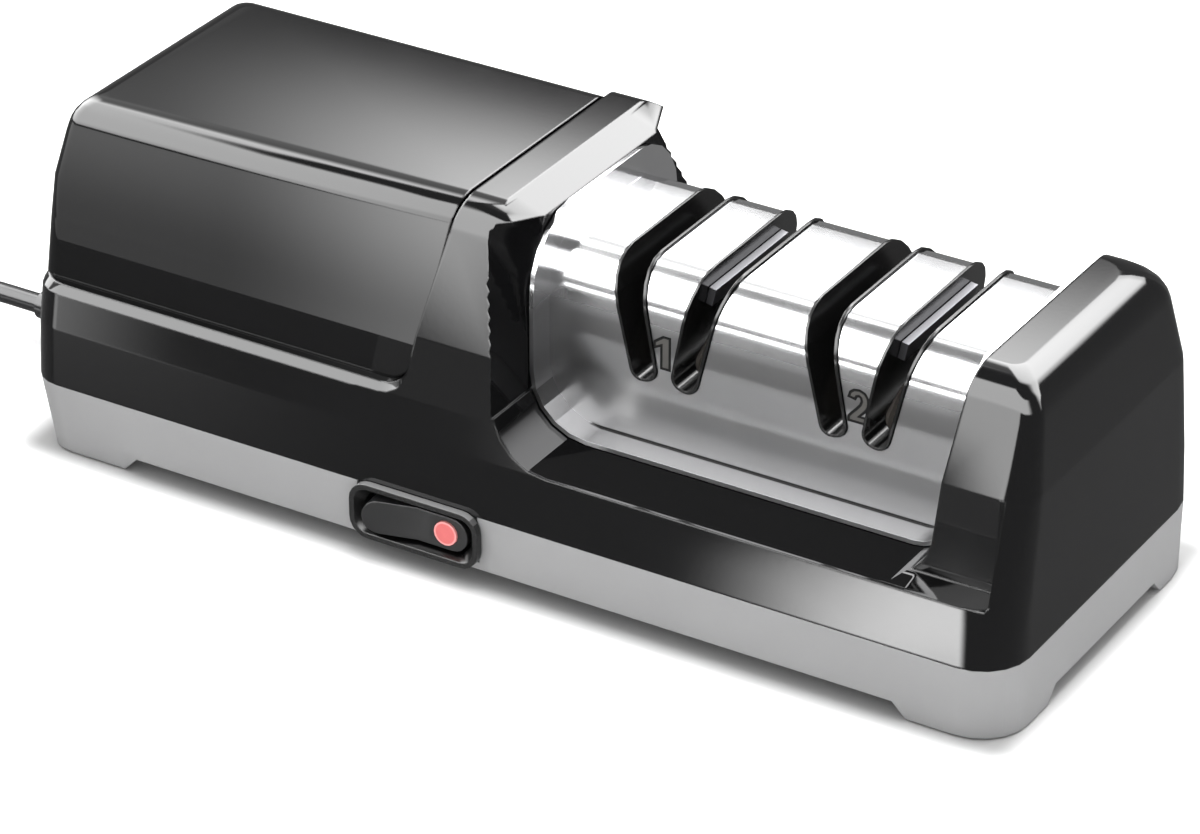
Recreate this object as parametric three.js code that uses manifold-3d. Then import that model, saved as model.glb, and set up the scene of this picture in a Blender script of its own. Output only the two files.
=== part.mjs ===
// Two-stage electric knife sharpener, in millimetres.
// The origin is on the table under the middle of the body. +X runs along the length, -Y is the front, +Z is up.
// A motor on the left turns a shaft that carries two pairs of abrasive wheels under a steel cover with four slots.
import * as THREE from "three";
import Module from "manifold-3d";
import { mergeVertices } from "three/addons/utils/BufferGeometryUtils.js";

const wasm = await Module();
wasm.setup();

// Clearances and shared sizes
const TOUCH_GAP = 0.3; // between pieces that lie on each other
const FIT_GAP = 0.15; // between pieces that are pressed or slid together
const RUN_GAP = 0.35; // round a turning shaft
const OVERRUN = 6; // how far a cutter reaches past what it cuts
const FAR = 400; // beyond every piece, for a cutter that is open on one side
const WELD = 1e-4; // vertices closer than this are one
const LEAST_RISE = 0.1; // two heights of a loft lie at least this far apart
const DEEPER = 0.05; // how much deeper a cut goes than the face that it follows
const WALL = 2.4; // moulded housings

// Body and base
const body = {
  length: 240,
  depth: 92.4,
  leftRadius: 8.2, // of the corners, seen from above
  frontRadius: 11, // at the right end
  rearRadius: 14,
  seamHeight: 16.6,
};
const half = { length: body.length / 2, depth: body.depth / 2 };
const base = {
  leftTaper: 2.8, // how far the left end comes in towards the table
  sideTaper: 0.7,
  footHeight: 3.7,
  leftFoot: 28.5, // length of a foot at the left end, seen from the front
  rightFoot: 25.2,
  sideFoot: 23.6, // seen from an end
  archSlope: 3.6, // how far an arch widens from its top to the table
  bossRadius: 4,
  bossInset: 14, // from the ends and sides to a screw boss
  screwRadius: 1.6,
  screwHeadRadius: 3.4,
  screwHeadDepth: 3,
};
const pad = { radius: 7, thickness: 1.5, proud: 0.4, inset: 13.5 };

// Main housing: a low band, a ledge for the motor cover, a tower either side of the sharpening pocket
const crease = { height: 52.3 };
const band = {
  pocketHeight: 30.2, // the floor of the pocket
  pocketTaper: 0.7, // how far the sides have come in at that height
  ledgeHeight: 39.8,
  ledgeTaper: 3.8,
  edgeHeight: 1.6, // the sloping strip along the ledge
  edgeDepth: 1.7,
  endTaper: 0.4,
  endEdge: 0.4,
  ledgeLip: 2.6, // how far the ledge carries on inwards, under the motor cover's wall
};
const pocket = {
  left: -1,
  leftRadius: 14,
  rightInset: 21.8, // from the right end to where the right wall would meet the floor
  rightLean: 5.4, // degrees
  rightRadius: 9,
  wheelOpeningHalf: 20,
  wheelOpeningEnd: 8, // from a wall of the pocket to the opening
  bridge: 6, // between the two openings
  notchHalf: 5, // the shaft's notch in each wall
  notchHeight: 43,
  notchReach: 5,
};
const leftTower = {
  height: 80.2,
  frontCrease: 4.8, // these four are in from the body's side
  rearCrease: 4.2,
  frontTop: 15.5, // where the leaning face would meet the top, without its rounding
  rearTop: 14.4,
  frontRadius: 9.3,
  rearRadius: 5,
  chamferWidth: 7.5,
  chamferDrop: 2.9,
};
const groove = { width: 0.8, foot: -23.4, lean: 9.2 }; // the parting line beside the left tower, at the ledge
const flare = {
  start: 5.7, // from the steel cover's side to where the pocket's mouth starts to widen
  topStart: -0.4,
  bendHeight: 68,
  step: 2.5,
  creaseWidening: 1.3,
  lowWidening: 1, // where the widening ends, at the height below
  lowHeight: 48,
  topOuter: 14.1, // in from the body's side
  topOuterHeight: 76,
  reachShare: 1.2, // how far the cutter goes on past the face
};
// Of the two tops below, the reaches are in from the body's sides and ends
const rightTower = {
  height: 74.7,
  foot: 6.9,
  footHeight: 31.5,
  crease: 8.1,
  top: 15.7,
  edgeRadius: 8.2,
  endTop: 2.9,
  endRadius: 8.2,
  frontRadius: 6.5,
  rearRadius: 8.5,
  topFrontRadius: 3,
  topRearRadius: 7,
  columnLength: 5.6, // from the end, the corner that runs down into the band
};
const motorCover = {
  height: 80.2,
  foot: 6.2,
  crease: 9,
  frontTop: 11,
  frontRadius: 7.1,
  bow: 3.9, // how far the front draws in towards the tower, above the crease
  bowHeight: 73.6,
  rearCrease: 8.2,
  rearTop: 17.4,
  rearRadius: 5,
  endFoot: 0.9,
  endCrease: 0.6,
  endBend: 1.8,
  bendHeight: 62,
  endTop: 7.4,
  endRadius: 5.7,
  cornerRadius: 4,
  topCornerRadius: 3,
  footRadius: 6.5, // the corner beside the tower's foot, seen from the front
  wall: 2.2,
};

// Steel guide cover and the four slots
const guide = {
  sheet: 1,
  height: 71,
  depthShare: 0.4935, // of the body's half depth
  shoulderRadius: 9.5,
  flange: 6.5,
};
const stageShare = { coarse: 0.2923, fine: 0.7419 }; // the middle of each pair of slots, across the pocket
const slot = {
  roundShare: 0.9, // of its half width, for the rounding of its bottom
  bottomHeight: 45.7,
  bottomOffset: 4.35, // from the pair's middle to the slot's middle, at the bottom
  lean: 12, // degrees
  bottomWidth: 6.6,
  topWidth: 7.8,
};
const liner = { wall: 0.6, proud: 0.5, windowOffset: 4.6 };
const magnetBar = { thickness: 1.6, bottomHeight: 62.5, height: 4, length: 30 };

// Drive line
const axis = { height: 38 };
const motor = {
  endGap: 16, // from the body's left end
  towerGap: 16.6, // from the left tower
  radius: 27,
  can: 1.6,
  noseRadius: 7,
  noseLength: 4,
  bellThickness: 4,
  shaftRadius: 3,
  shaftProud: 3, // out of the can's left end
  bushRadius: 5,
  bushLength: 5,
};
const magnet = { thickness: 2.6, halfAngle: 65, inset: 8, rightInset: 12 };
const rotor = { radius: 21.6, inset: 12, rightInset: 16, poles: 5, slotWidth: 4, slotDepth: 13 };
const commutator = { radius: 7, length: 7, fromBell: 3 };
const brush = { half: 3, length: 6, reach: 10 };
const fan = { radius: 20, hubRadius: 7, length: 5, blades: 9, blade: 1.2, disc: 1.2, fromBell: 2.5 };
const shaft = { radius: 4, left: 13.8, right: 10, gap: 0.7 }; // from the pocket's left, the right end, the motor's
const coupling = { radius: 9, half: 4 };
const bearing = {
  left: 6.5, // from the pocket's left wall
  right: 13.5, // from the right end
  width: 4,
  bushLength: 5,
  bushRadius: 7,
  wall: 4,
};
const saddle = { inset: 12, width: 4, half: 24, height: 22 };

// One abrasive wheel, measured outwards from the middle of its pair
const wheel = {
  radius: 17,
  back: 1.3,
  rimFace: 2.9,
  innerFace: 4,
  innerRadius: 8,
  hubRadius: 7,
  hubEnd: 12,
  springSeat: 8.2,
  springBore: 5.9,
  notchDepth: 2,
};
const collar = { radius: 5.6, half: 0.5 };
const pin = { radius: 0.9, half: 6.6 };
const spring = { wire: 0.9, meanRadius: 5, turns: 4.5 };

// Switch
const bezel = {
  share: -0.1517, // of the body's half length, from the middle
  height: 10.75,
  width: 32,
  tall: 13,
  corner: 4.4,
  proud: 1.7,
  rim: 1.2,
  funnelDepth: 2.3,
  openWidth: 27,
  openTall: 8.4,
};
const switchBody = { width: 29.4, tall: 10, wall: 1.2, back: 14 };
const rocker = {
  half: 12.4,
  tall: 7.8,
  pivotDepth: 4, // behind the bezel's face
  middleDepth: 1.4, // the middle of the face, behind the bezel's face
  endProud: 0.2,
  sideDepth: 3.5,
  keelHalf: 5,
  keelDepth: 9,
  tilt: 7, // degrees
};
const lamp = { offset: 7.1, radius: 2.8, depth: 2, proud: 0.4 };

// Board that feeds the motor
const board = { right: 19, rear: 13.2, width: 40, deep: 16, thickness: 1.6, stand: 5, part: 9, partTall: 8 };

// Mains lead
const cord = { diameter: 4.6, y: -7.5, height: 9.5, sides: 10, steps: 14 };
const relief = { length: 26, rootRadius: 5, tipRadius: 3.2, flangeRadius: 6.6, flange: 2.2, neck: 3.4 };
const coil = {
  x: -198,
  turns: 7.5, // in its two layers together
  meanRadius: 27,
  looseness: 0.5, // between neighbouring turns
  tail: 18, // straight, from the last turn to the plug
  stepsPerTurn: 24,
  sides: 6,
};
const plug = {
  width: 24,
  tall: 14.7,
  length: 28,
  corner: 4,
  boot: 18,
  bootRoot: 5.1,
  bootTip: 3,
  bladeLength: 17,
  bladeWidth: 6.3,
  bladeThickness: 1.5,
  bladeSpacing: 12.7,
};

// Faceting
const ARC_STEPS = 5;
const BOW_STEPS = 6;
const ROUND = 28;
const SMALL_ROUND = 16;

const radians = THREE.MathUtils.degToRad;

// Places that follow from the sizes
const pocketFoot = half.length - pocket.rightInset; // where the right wall would meet the floor
const pocketWidth = pocketFoot - pocket.left;
const stage = {
  coarse: pocket.left + pocketWidth * stageShare.coarse,
  fine: pocket.left + pocketWidth * stageShare.fine,
};
const guideDepth = half.depth * guide.depthShare;
const can = {
  left: -half.length + motor.endGap,
  right: groove.foot - motor.towerGap,
  inner: motor.radius - motor.can,
};
const bell = { left: can.right, right: can.right + motor.bellThickness };
const bezelX = half.length * bezel.share;
const bearings = { middle: pocket.left - bearing.left, right: half.length - bearing.right };
const shaftLeft = pocket.left - shaft.left;
const motorShaftRight = shaftLeft - shaft.gap;

// Solids from closed geometries, and back
function solidFrom(geometry) {
  const source = geometry.index ? geometry.toNonIndexed() : geometry;
  const bare = new THREE.BufferGeometry().setAttribute("position", source.getAttribute("position"));
  const merged = mergeVertices(bare, WELD);
  return new wasm.Manifold(
    new wasm.Mesh({
      numProp: 3,
      vertProperties: new Float32Array(merged.attributes.position.array),
      triVerts: new Uint32Array(merged.index.array),
    }),
  );
}

function geometryFrom(solid) {
  const mesh = solid.getMesh();
  const positions = new Float32Array(mesh.triVerts.length * 3);
  mesh.triVerts.forEach((vertex, index) => {
    const start = vertex * mesh.numProp;
    positions.set(mesh.vertProperties.subarray(start, start + 3), index * 3);
  });
  const geometry = new THREE.BufferGeometry().setAttribute("position", new THREE.BufferAttribute(positions, 3));
  geometry.computeVertexNormals();
  return geometry;
}

const X = new THREE.Vector3(1, 0, 0);
const Y = new THREE.Vector3(0, 1, 0);
const Z = new THREE.Vector3(0, 0, 1);
const TURN = {
  x: new THREE.Matrix4().makeBasis(Y, Z, X), // outlines in (y, z)
  y: new THREE.Matrix4().makeBasis(X, Z, Y.clone().negate()), // outlines in (x, z)
  z: new THREE.Matrix4(), // outlines in (x, y)
};

// A straight piece of one outline, from one place to another along an axis
function prism(along, outline, from, to, holes = []) {
  const shape = new THREE.Shape(outline.map(([u, v]) => new THREE.Vector2(u, v)));
  shape.holes = holes.map((hole) => new THREE.Path(hole.map(([u, v]) => new THREE.Vector2(u, v))));
  const geometry = new THREE.ExtrudeGeometry(shape, { depth: to - from, bevelEnabled: false });
  geometry.translate(0, 0, along === "y" ? -to : from);
  return solidFrom(geometry.applyMatrix4(TURN[along]));
}

function block(x0, x1, y0, y1, z0, z1) {
  return prism("z", rectangle(x0, x1, y0, y1), z0, z1);
}

function rectangle(u0, u1, v0, v1) {
  return [
    [u0, v0],
    [u1, v0],
    [u1, v1],
    [u0, v1],
  ];
}

// An outline whose corners are [u, v, radius], with the rounded ones as arcs
function softened(corners, closed = true) {
  const outline = [];
  corners.forEach(([u, v, radius = 0], index) => {
    const end = !closed && (index === 0 || index === corners.length - 1);
    if (radius === 0 || end) {
      outline.push([u, v]);
      return;
    }
    const corner = new THREE.Vector2(u, v);
    const towards = (other) => new THREE.Vector2(other[0], other[1]).sub(corner).normalize();
    const before = towards(corners.at(index - 1));
    const after = towards(corners[(index + 1) % corners.length]);
    const halfAngle = Math.acos(before.dot(after)) / 2;
    const middle = before.clone().add(after).normalize();
    const centre = corner.clone().addScaledVector(middle, radius / Math.sin(halfAngle));
    const start = corner.clone().addScaledVector(before, radius / Math.tan(halfAngle));
    const first = start.sub(centre).angle();
    const sweep = Math.sign(after.cross(before)) * (Math.PI - 2 * halfAngle);
    for (let step = 0; step <= ARC_STEPS; step++) {
      const angle = first + (sweep * step) / ARC_STEPS;
      outline.push([centre.x + radius * Math.cos(angle), centre.y + radius * Math.sin(angle)]);
    }
  });
  return outline;
}

// A side is an open outline of [reach, height]: its reach at any height, and the heights where it bends
function reachAt(side, height) {
  const above = side.findIndex(([, z]) => z >= height);
  if (above === 0) return side[0][0];
  if (above < 0) return side.at(-1)[0];
  const [[r0, z0], [r1, z1]] = [side[above - 1], side[above]];
  return r0 + ((r1 - r0) * (height - z0)) / (z1 - z0);
}

function heightsOf(sides, from, to) {
  const heights = [from, to];
  for (const side of sides) {
    for (const [, z] of side) {
      const apart = heights.every((known) => Math.abs(known - z) > LEAST_RISE);
      if (apart && z > from && z < to) heights.push(z);
    }
  }
  return heights.sort((a, b) => a - b);
}

// A rounded rectangle with the same number of points whatever its size; the radii go round from its first corner
function plate(x0, x1, y0, y1, radii) {
  return softened([
    [x0, y0, radii[0]],
    [x1, y0, radii[1]],
    [x1, y1, radii[2]],
    [x0, y1, radii[3]],
  ]);
}

// A solid between outlines at rising heights, each drawn the same way round with the same number of points
function loft(heights, outlineAt) {
  const rings = heights.map((z) => outlineAt(z).map(([x, y]) => new THREE.Vector3(x, y, z)));
  const triangles = [];
  for (let level = 1; level < rings.length; level++) {
    const [low, high] = [rings[level - 1], rings[level]];
    low.forEach((point, index) => {
      const next = (index + 1) % low.length;
      triangles.push(point, low[next], high[next], point, high[next], high[index]);
    });
  }
  const cap = (ring, facing) => {
    const flat = ring.map((point) => new THREE.Vector2(point.x, point.y));
    for (const [a, b, c] of THREE.ShapeUtils.triangulateShape(flat, [])) {
      triangles.push(...(facing > 0 ? [ring[a], ring[b], ring[c]] : [ring[c], ring[b], ring[a]]));
    }
  };
  cap(rings[0], -1);
  cap(rings.at(-1), 1);
  return solidFrom(new THREE.BufferGeometry().setFromPoints(triangles));
}

// A turned piece about an axis along X, from a closed outline of [x, radius]
function turned(outline, segments = ROUND, height = axis.height) {
  const points = [...outline, outline[0]].map(([x, radius]) => new THREE.Vector2(radius, x));
  const geometry = new THREE.LatheGeometry(points, segments).rotateZ(-Math.PI / 2).translate(0, 0, height);
  const solid = solidFrom(geometry);
  return solid.volume() < 0 ? solidFrom(flipped(geometry)) : solid;
}

function flipped(geometry) {
  const source = geometry.toNonIndexed().getAttribute("position");
  const points = [];
  for (let corner = 0; corner < source.count; corner += 3) {
    for (const step of [0, 2, 1]) points.push(new THREE.Vector3().fromBufferAttribute(source, corner + step));
  }
  return new THREE.BufferGeometry().setFromPoints(points);
}

function rod(radius, x0, x1, segments = SMALL_ROUND, height = axis.height) {
  return turned([[x0, 0], [x0, radius], [x1, radius], [x1, 0]], segments, height);
}

function sleeve(inner, outer, x0, x1, segments = SMALL_ROUND, height = axis.height) {
  return turned([[x0, inner], [x0, outer], [x1, outer], [x1, inner]], segments, height);
}

function upright(radius, x, y, z0, z1, segments = SMALL_ROUND) {
  const geometry = new THREE.CylinderGeometry(radius, radius, z1 - z0, segments);
  return solidFrom(geometry.rotateX(Math.PI / 2).translate(x, y, (z0 + z1) / 2));
}

function joined(solids) {
  return solids.reduce((whole, solid) => whole.add(solid));
}

function mirroredDepth(solid) {
  return solid.mirror([0, 1, 0]);
}

// A loft from outlines in (x, z) at rising distances to the front
function frontLoft(depths, outlineAt) {
  return loft(depths, outlineAt).rotate([90, 0, 0]);
}

const sharpener = new THREE.Group();

function addPiece(name, solid, color, roughness, metalness, parent = sharpener) {
  const material = new THREE.MeshStandardMaterial({ color, roughness, metalness });
  const mesh = new THREE.Mesh(geometryFrom(solid), material);
  mesh.name = name;
  parent.add(mesh);
  return mesh;
}

const LOOK = {
  gloss: [0x0c0c0d, 0.12, 0],
  satin: [0x9a9b9d, 0.5, 0],
  steel: [0xc9c9c7, 0.22, 1],
  darkPlastic: [0x1d1d1f, 0.45, 0],
  rubber: [0x202022, 0.85, 0],
  zinc: [0xb4b6b8, 0.4, 1],
  brass: [0xb08d4c, 0.35, 1],
  abrasive: [0x8d8a84, 0.9, 0.3],
  red: [0xe0605c, 0.2, 0],
  board: [0x2f6b45, 0.6, 0],
};

// The sides of the body, as [reach, height]
const BAND_SIDE = [
  [half.depth, body.seamHeight],
  [half.depth - band.pocketTaper, band.pocketHeight],
  [half.depth - band.ledgeTaper + band.edgeDepth, band.ledgeHeight - band.edgeHeight],
  [half.depth - band.ledgeTaper, band.ledgeHeight],
];
const BAND_END = [
  [half.length, body.seamHeight],
  [half.length - band.endTaper, band.ledgeHeight - band.edgeHeight],
  [half.length - band.endTaper - band.endEdge, band.ledgeHeight],
];
const BAND_CORNERS = [body.leftRadius, body.frontRadius, body.rearRadius, body.leftRadius];

function lessened(radii, inset) {
  return radii.map((radius) => radius - inset);
}

// Base: a tray with a foot at each corner, saddles for the motor and pedestals for the shaft
function baseOutline(z, inset) {
  const rise = z / body.seamHeight;
  const side = half.depth - base.sideTaper * (1 - rise) - inset;
  const left = half.length - base.leftTaper * (1 - rise) - inset;
  return plate(-left, half.length - inset, -side, side, lessened(BAND_CORNERS, inset));
}

function archOutline(from, to) {
  const slope = base.archSlope / base.footHeight;
  const below = slope * OVERRUN;
  return [
    [from - base.archSlope - below, -OVERRUN],
    [to + base.archSlope + below, -OVERRUN],
    [to, base.footHeight],
    [from, base.footHeight],
  ];
}

const CORNERS = [
  ["front_left", -1, -1],
  ["front_right", 1, -1],
  ["rear_left", -1, 1],
  ["rear_right", 1, 1],
];

function bossPlace(right, rear) {
  return [right * (half.length - base.bossInset), rear * (half.depth - base.bossInset)];
}

function pedestal(x) {
  const top = axis.height + bearing.bushRadius + bearing.wall;
  const side = bearing.bushRadius + bearing.wall;
  const outline = softened([
    [-side, base.footHeight],
    [side, base.footHeight],
    [side, top, bearing.bushRadius],
    [-side, top, bearing.bushRadius],
  ]);
  return prism("x", outline, x - bearing.width / 2, x + bearing.width / 2);
}

function makeBase() {
  const floor = base.footHeight + WALL;
  const tray = loft([pad.proud, body.seamHeight], (z) => baseOutline(z, 0)).subtract(
    loft([floor, body.seamHeight + OVERRUN], (z) => baseOutline(z, WALL)),
  );
  const saddles = [can.left + saddle.inset, can.right - saddle.inset].map((x) =>
    block(x - saddle.width / 2, x + saddle.width / 2, -saddle.half, saddle.half, base.footHeight, saddle.height),
  );
  const bosses = CORNERS.map(([, right, rear]) =>
    upright(base.bossRadius, ...bossPlace(right, rear), base.footHeight, body.seamHeight - TOUCH_GAP),
  );
  const solids = [tray, ...saddles, ...bosses, pedestal(bearings.middle), pedestal(bearings.right)];
  const endArch = half.depth - base.sideFoot;
  const cuts = [
    prism("y", archOutline(base.leftFoot - half.length, half.length - base.rightFoot), -FAR, FAR),
    prism("x", archOutline(-endArch, endArch), -FAR, FAR),
    rod(motor.radius + TOUCH_GAP, can.left - OVERRUN, can.right, ROUND),
    rod(bearing.bushRadius + FIT_GAP, bearings.middle - OVERRUN, bearings.middle + OVERRUN),
    rod(bearing.bushRadius + FIT_GAP, bearings.right - OVERRUN, bearings.right + OVERRUN),
    block(
      bezelX - switchBody.width / 2 - TOUCH_GAP,
      bezelX + switchBody.width / 2 + TOUCH_GAP,
      -half.depth - OVERRUN,
      -half.depth + switchBody.back + TOUCH_GAP,
      bezel.height - switchBody.tall / 2 - TOUCH_GAP,
      body.seamHeight + OVERRUN,
    ),
    rod(relief.neck + TOUCH_GAP, -half.length - OVERRUN, -half.length + OVERRUN * 2, SMALL_ROUND, cord.height)
      .translate([0, cord.y, 0]),
  ];
  for (const [, right, rear] of CORNERS) {
    const [x, y] = bossPlace(right, rear);
    cuts.push(upright(base.screwRadius, x, y, -OVERRUN, body.seamHeight + OVERRUN));
    cuts.push(upright(base.screwHeadRadius, x, y, -OVERRUN, base.footHeight + base.screwHeadDepth));
    const [padX, padY] = padPlace(right, rear);
    cuts.push(upright(pad.radius + TOUCH_GAP, padX, padY, -OVERRUN, pad.thickness + FIT_GAP));
  }
  return joined(solids).subtract(joined(cuts));
}

function padPlace(right, rear) {
  const x = half.length - pad.inset - (right < 0 ? base.leftTaper : 0);
  return [right * x, rear * (half.depth - pad.inset)];
}

addPiece("base_housing", makeBase(), ...LOOK.satin);
for (const [name, right, rear] of CORNERS) {
  addPiece("foot_pad_" + name, upright(pad.radius, ...padPlace(right, rear), 0, pad.thickness), ...LOOK.rubber);
}

// Main housing
function towerSide(creaseInset, topInset, radius) {
  return softened(
    [
      [half.depth - band.ledgeTaper + band.edgeDepth, band.ledgeHeight - band.edgeHeight],
      [half.depth - creaseInset, crease.height],
      [half.depth - topInset, leftTower.height, radius],
      [0, leftTower.height],
    ],
    false,
  );
}

const LEFT_FRONT = towerSide(leftTower.frontCrease, leftTower.frontTop, leftTower.frontRadius);
const LEFT_REAR = towerSide(leftTower.rearCrease, leftTower.rearTop, leftTower.rearRadius);
const RIGHT_SIDE = softened(
  [
    [half.depth - band.pocketTaper, band.pocketHeight],
    [half.depth - rightTower.foot, rightTower.footHeight],
    [half.depth - rightTower.crease, crease.height],
    [half.depth - rightTower.top, rightTower.height, rightTower.edgeRadius],
    [0, rightTower.height],
  ],
  false,
);
const RIGHT_END = softened(
  [
    [reachAt(BAND_END, band.pocketHeight), band.pocketHeight],
    [half.length - band.endTaper, crease.height],
    [half.length - rightTower.endTop, rightTower.height, rightTower.endRadius],
    [0, rightTower.height],
  ],
  false,
);
const RIGHT_FRONT_RADIUS = [
  [rightTower.frontRadius, crease.height],
  [rightTower.topFrontRadius, rightTower.height],
];
const RIGHT_REAR_RADIUS = [
  [rightTower.rearRadius, crease.height],
  [rightTower.topRearRadius, rightTower.height],
];
// The corner column draws in from the band to the tower's crease
const COLUMN_SIDE = [
  [half.depth - band.pocketTaper, band.pocketHeight],
  [half.depth - rightTower.crease, crease.height],
];
const COLUMN_FRONT_RADIUS = [
  [body.frontRadius, band.pocketHeight],
  [rightTower.frontRadius, crease.height],
];
const COLUMN_REAR_RADIUS = [
  [body.rearRadius, band.pocketHeight],
  [rightTower.rearRadius, crease.height],
];

function grooveAt(z) {
  return groove.foot + (z - band.ledgeHeight) * Math.tan(radians(groove.lean));
}

function pocketRight(z) {
  return pocketFoot + (z - band.pocketHeight) * Math.tan(radians(pocket.rightLean));
}

// The pocket seen from the front, open at the top, grown by an offset
function pocketOutline(offset) {
  const floor = band.pocketHeight - offset;
  const top = leftTower.height + OVERRUN;
  return softened([
    [pocket.left - offset, floor, pocket.leftRadius + offset],
    [pocketRight(floor) + offset, floor, pocket.rightRadius + offset],
    [pocketRight(top) + offset, top],
    [pocket.left - offset, top],
  ]);
}

// The pocket's mouth widens to the left: a cutter from the wall's edge out to the front face
function mouthCutter(offset) {
  const inner = [
    [guideDepth + flare.start, band.pocketHeight],
    [guideDepth + flare.start, flare.bendHeight],
    [guideDepth + flare.topStart, leftTower.height - leftTower.chamferDrop],
  ];
  const outer = [
    [half.depth - band.pocketTaper, band.pocketHeight],
    [half.depth - leftTower.frontCrease, crease.height],
    [half.depth - flare.topOuter, flare.topOuterHeight],
  ];
  const widening = [
    [0, band.ledgeHeight],
    [flare.lowWidening, flare.lowHeight],
    [flare.creaseWidening, crease.height],
    [leftTower.chamferWidth, flare.topOuterHeight],
  ];
  const start = [
    [0, leftTower.height - leftTower.chamferDrop],
    [leftTower.chamferWidth, leftTower.height],
  ];
  const steps = [];
  for (let z = band.ledgeHeight; z < leftTower.height; z += flare.step) steps.push([0, z]);
  const heights = heightsOf([inner, outer, widening, start, steps], band.ledgeHeight, leftTower.height);
  return loft([...heights, leftTower.height + OVERRUN], (z) => {
    const x = pocket.left - offset - reachAt(start, z);
    const y = reachAt(inner, z);
    const farX = pocket.left - offset - reachAt(widening, z);
    const farY = reachAt(outer, z);
    const pastX = farX + (farX - x) * flare.reachShare;
    const pastY = farY + (farY - y) * flare.reachShare;
    return [
      [x, -y],
      [pastX, -pastY],
      [pocket.leftRadius, -pastY],
      [pocket.leftRadius, -y],
    ];
  });
}

// The sloping strip along the left tower's inner edge
function chamferCutter(offset) {
  const slope = leftTower.chamferDrop / leftTower.chamferWidth;
  const low = leftTower.height - leftTower.chamferDrop - offset;
  const left = pocket.left - leftTower.chamferWidth - OVERRUN;
  return prism(
    "y",
    [
      [pocket.left + OVERRUN, low - OVERRUN * slope],
      [pocket.left + OVERRUN, leftTower.height + OVERRUN],
      [left, leftTower.height + OVERRUN],
      [left, low + (pocket.left - left) * slope],
    ],
    -FAR,
    FAR,
  );
}

// The room that the motor cover stands in, seen from the front, with a round foot at the tower
function coverRoom(grow) {
  const foot = band.ledgeHeight - grow;
  const top = motorCover.height + OVERRUN;
  const faceAt = (z) => grooveAt(z) + groove.width / 2 + grow;
  return softened([
    [-FAR, foot],
    [faceAt(foot), foot, motorCover.footRadius + groove.width + grow],
    [faceAt(top), top],
    [-FAR, top],
  ]);
}

// The room opens out at the front and the rear, which leaves the sloping strip along the ledge
function coverRoomCutter() {
  const start = half.depth - band.ledgeTaper - DEEPER;
  const slope = band.edgeHeight / band.edgeDepth;
  const mouth = frontLoft([start, half.depth + DEEPER], (depth) => coverRoom((depth - start) * slope));
  return joined([prism("y", coverRoom(0), -half.depth, half.depth), mouth, mirroredDepth(mouth)]);
}

function housingBody(inset) {
  const within = inset > 0;
  const foot = body.seamHeight - (within ? OVERRUN : 0);
  const low = loft(heightsOf([BAND_SIDE, BAND_END], foot, band.ledgeHeight - inset), (z) => {
    const end = reachAt(BAND_END, z) - inset;
    const side = reachAt(BAND_SIDE, z) - inset;
    return plate(-end, end, -side, side, lessened(BAND_CORNERS, inset));
  }).subtract(block(pocket.leftRadius, FAR, -FAR, FAR, band.pocketHeight, FAR));
  const leftFoot = within ? foot : band.ledgeHeight - band.edgeHeight;
  const spread = within ? inset : -motorCover.footRadius * 2;
  const left = loft(heightsOf([LEFT_FRONT, LEFT_REAR], leftFoot, leftTower.height - inset), (z) =>
    rectangle(
      grooveAt(z) + groove.width / 2 + spread,
      pocket.leftRadius,
      -reachAt(LEFT_FRONT, z) + inset,
      reachAt(LEFT_REAR, z) - inset,
    ),
  );
  const rightFoot = within ? foot : band.pocketHeight;
  const right = loft(heightsOf([RIGHT_SIDE, RIGHT_END], rightFoot, rightTower.height - inset), (z) => {
    const side = reachAt(RIGHT_SIDE, z) - inset;
    const front = Math.max(reachAt(RIGHT_FRONT_RADIUS, z) - inset, inset / 2);
    const rear = Math.max(reachAt(RIGHT_REAR_RADIUS, z) - inset, inset / 2);
    const from = pocketFoot - pocket.rightRadius * 2;
    return plate(from, reachAt(RIGHT_END, z) - inset, -side, side, [front, front, rear, rear]);
  });
  if (within) return joined([low, left, right]);
  const columnPlace = block(half.length - rightTower.columnLength, FAR, -FAR, FAR, band.pocketHeight, crease.height);
  const column = loft([band.pocketHeight, crease.height], (z) => {
    const side = reachAt(COLUMN_SIDE, z);
    const radii = [0, reachAt(COLUMN_FRONT_RADIUS, z), reachAt(COLUMN_REAR_RADIUS, z), 0];
    return plate(pocketFoot, reachAt(RIGHT_END, z), -side, side, radii);
  }).intersect(columnPlace);
  return joined([low, left, right.subtract(columnPlace), column]).subtract(coverRoomCutter());
}

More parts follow.
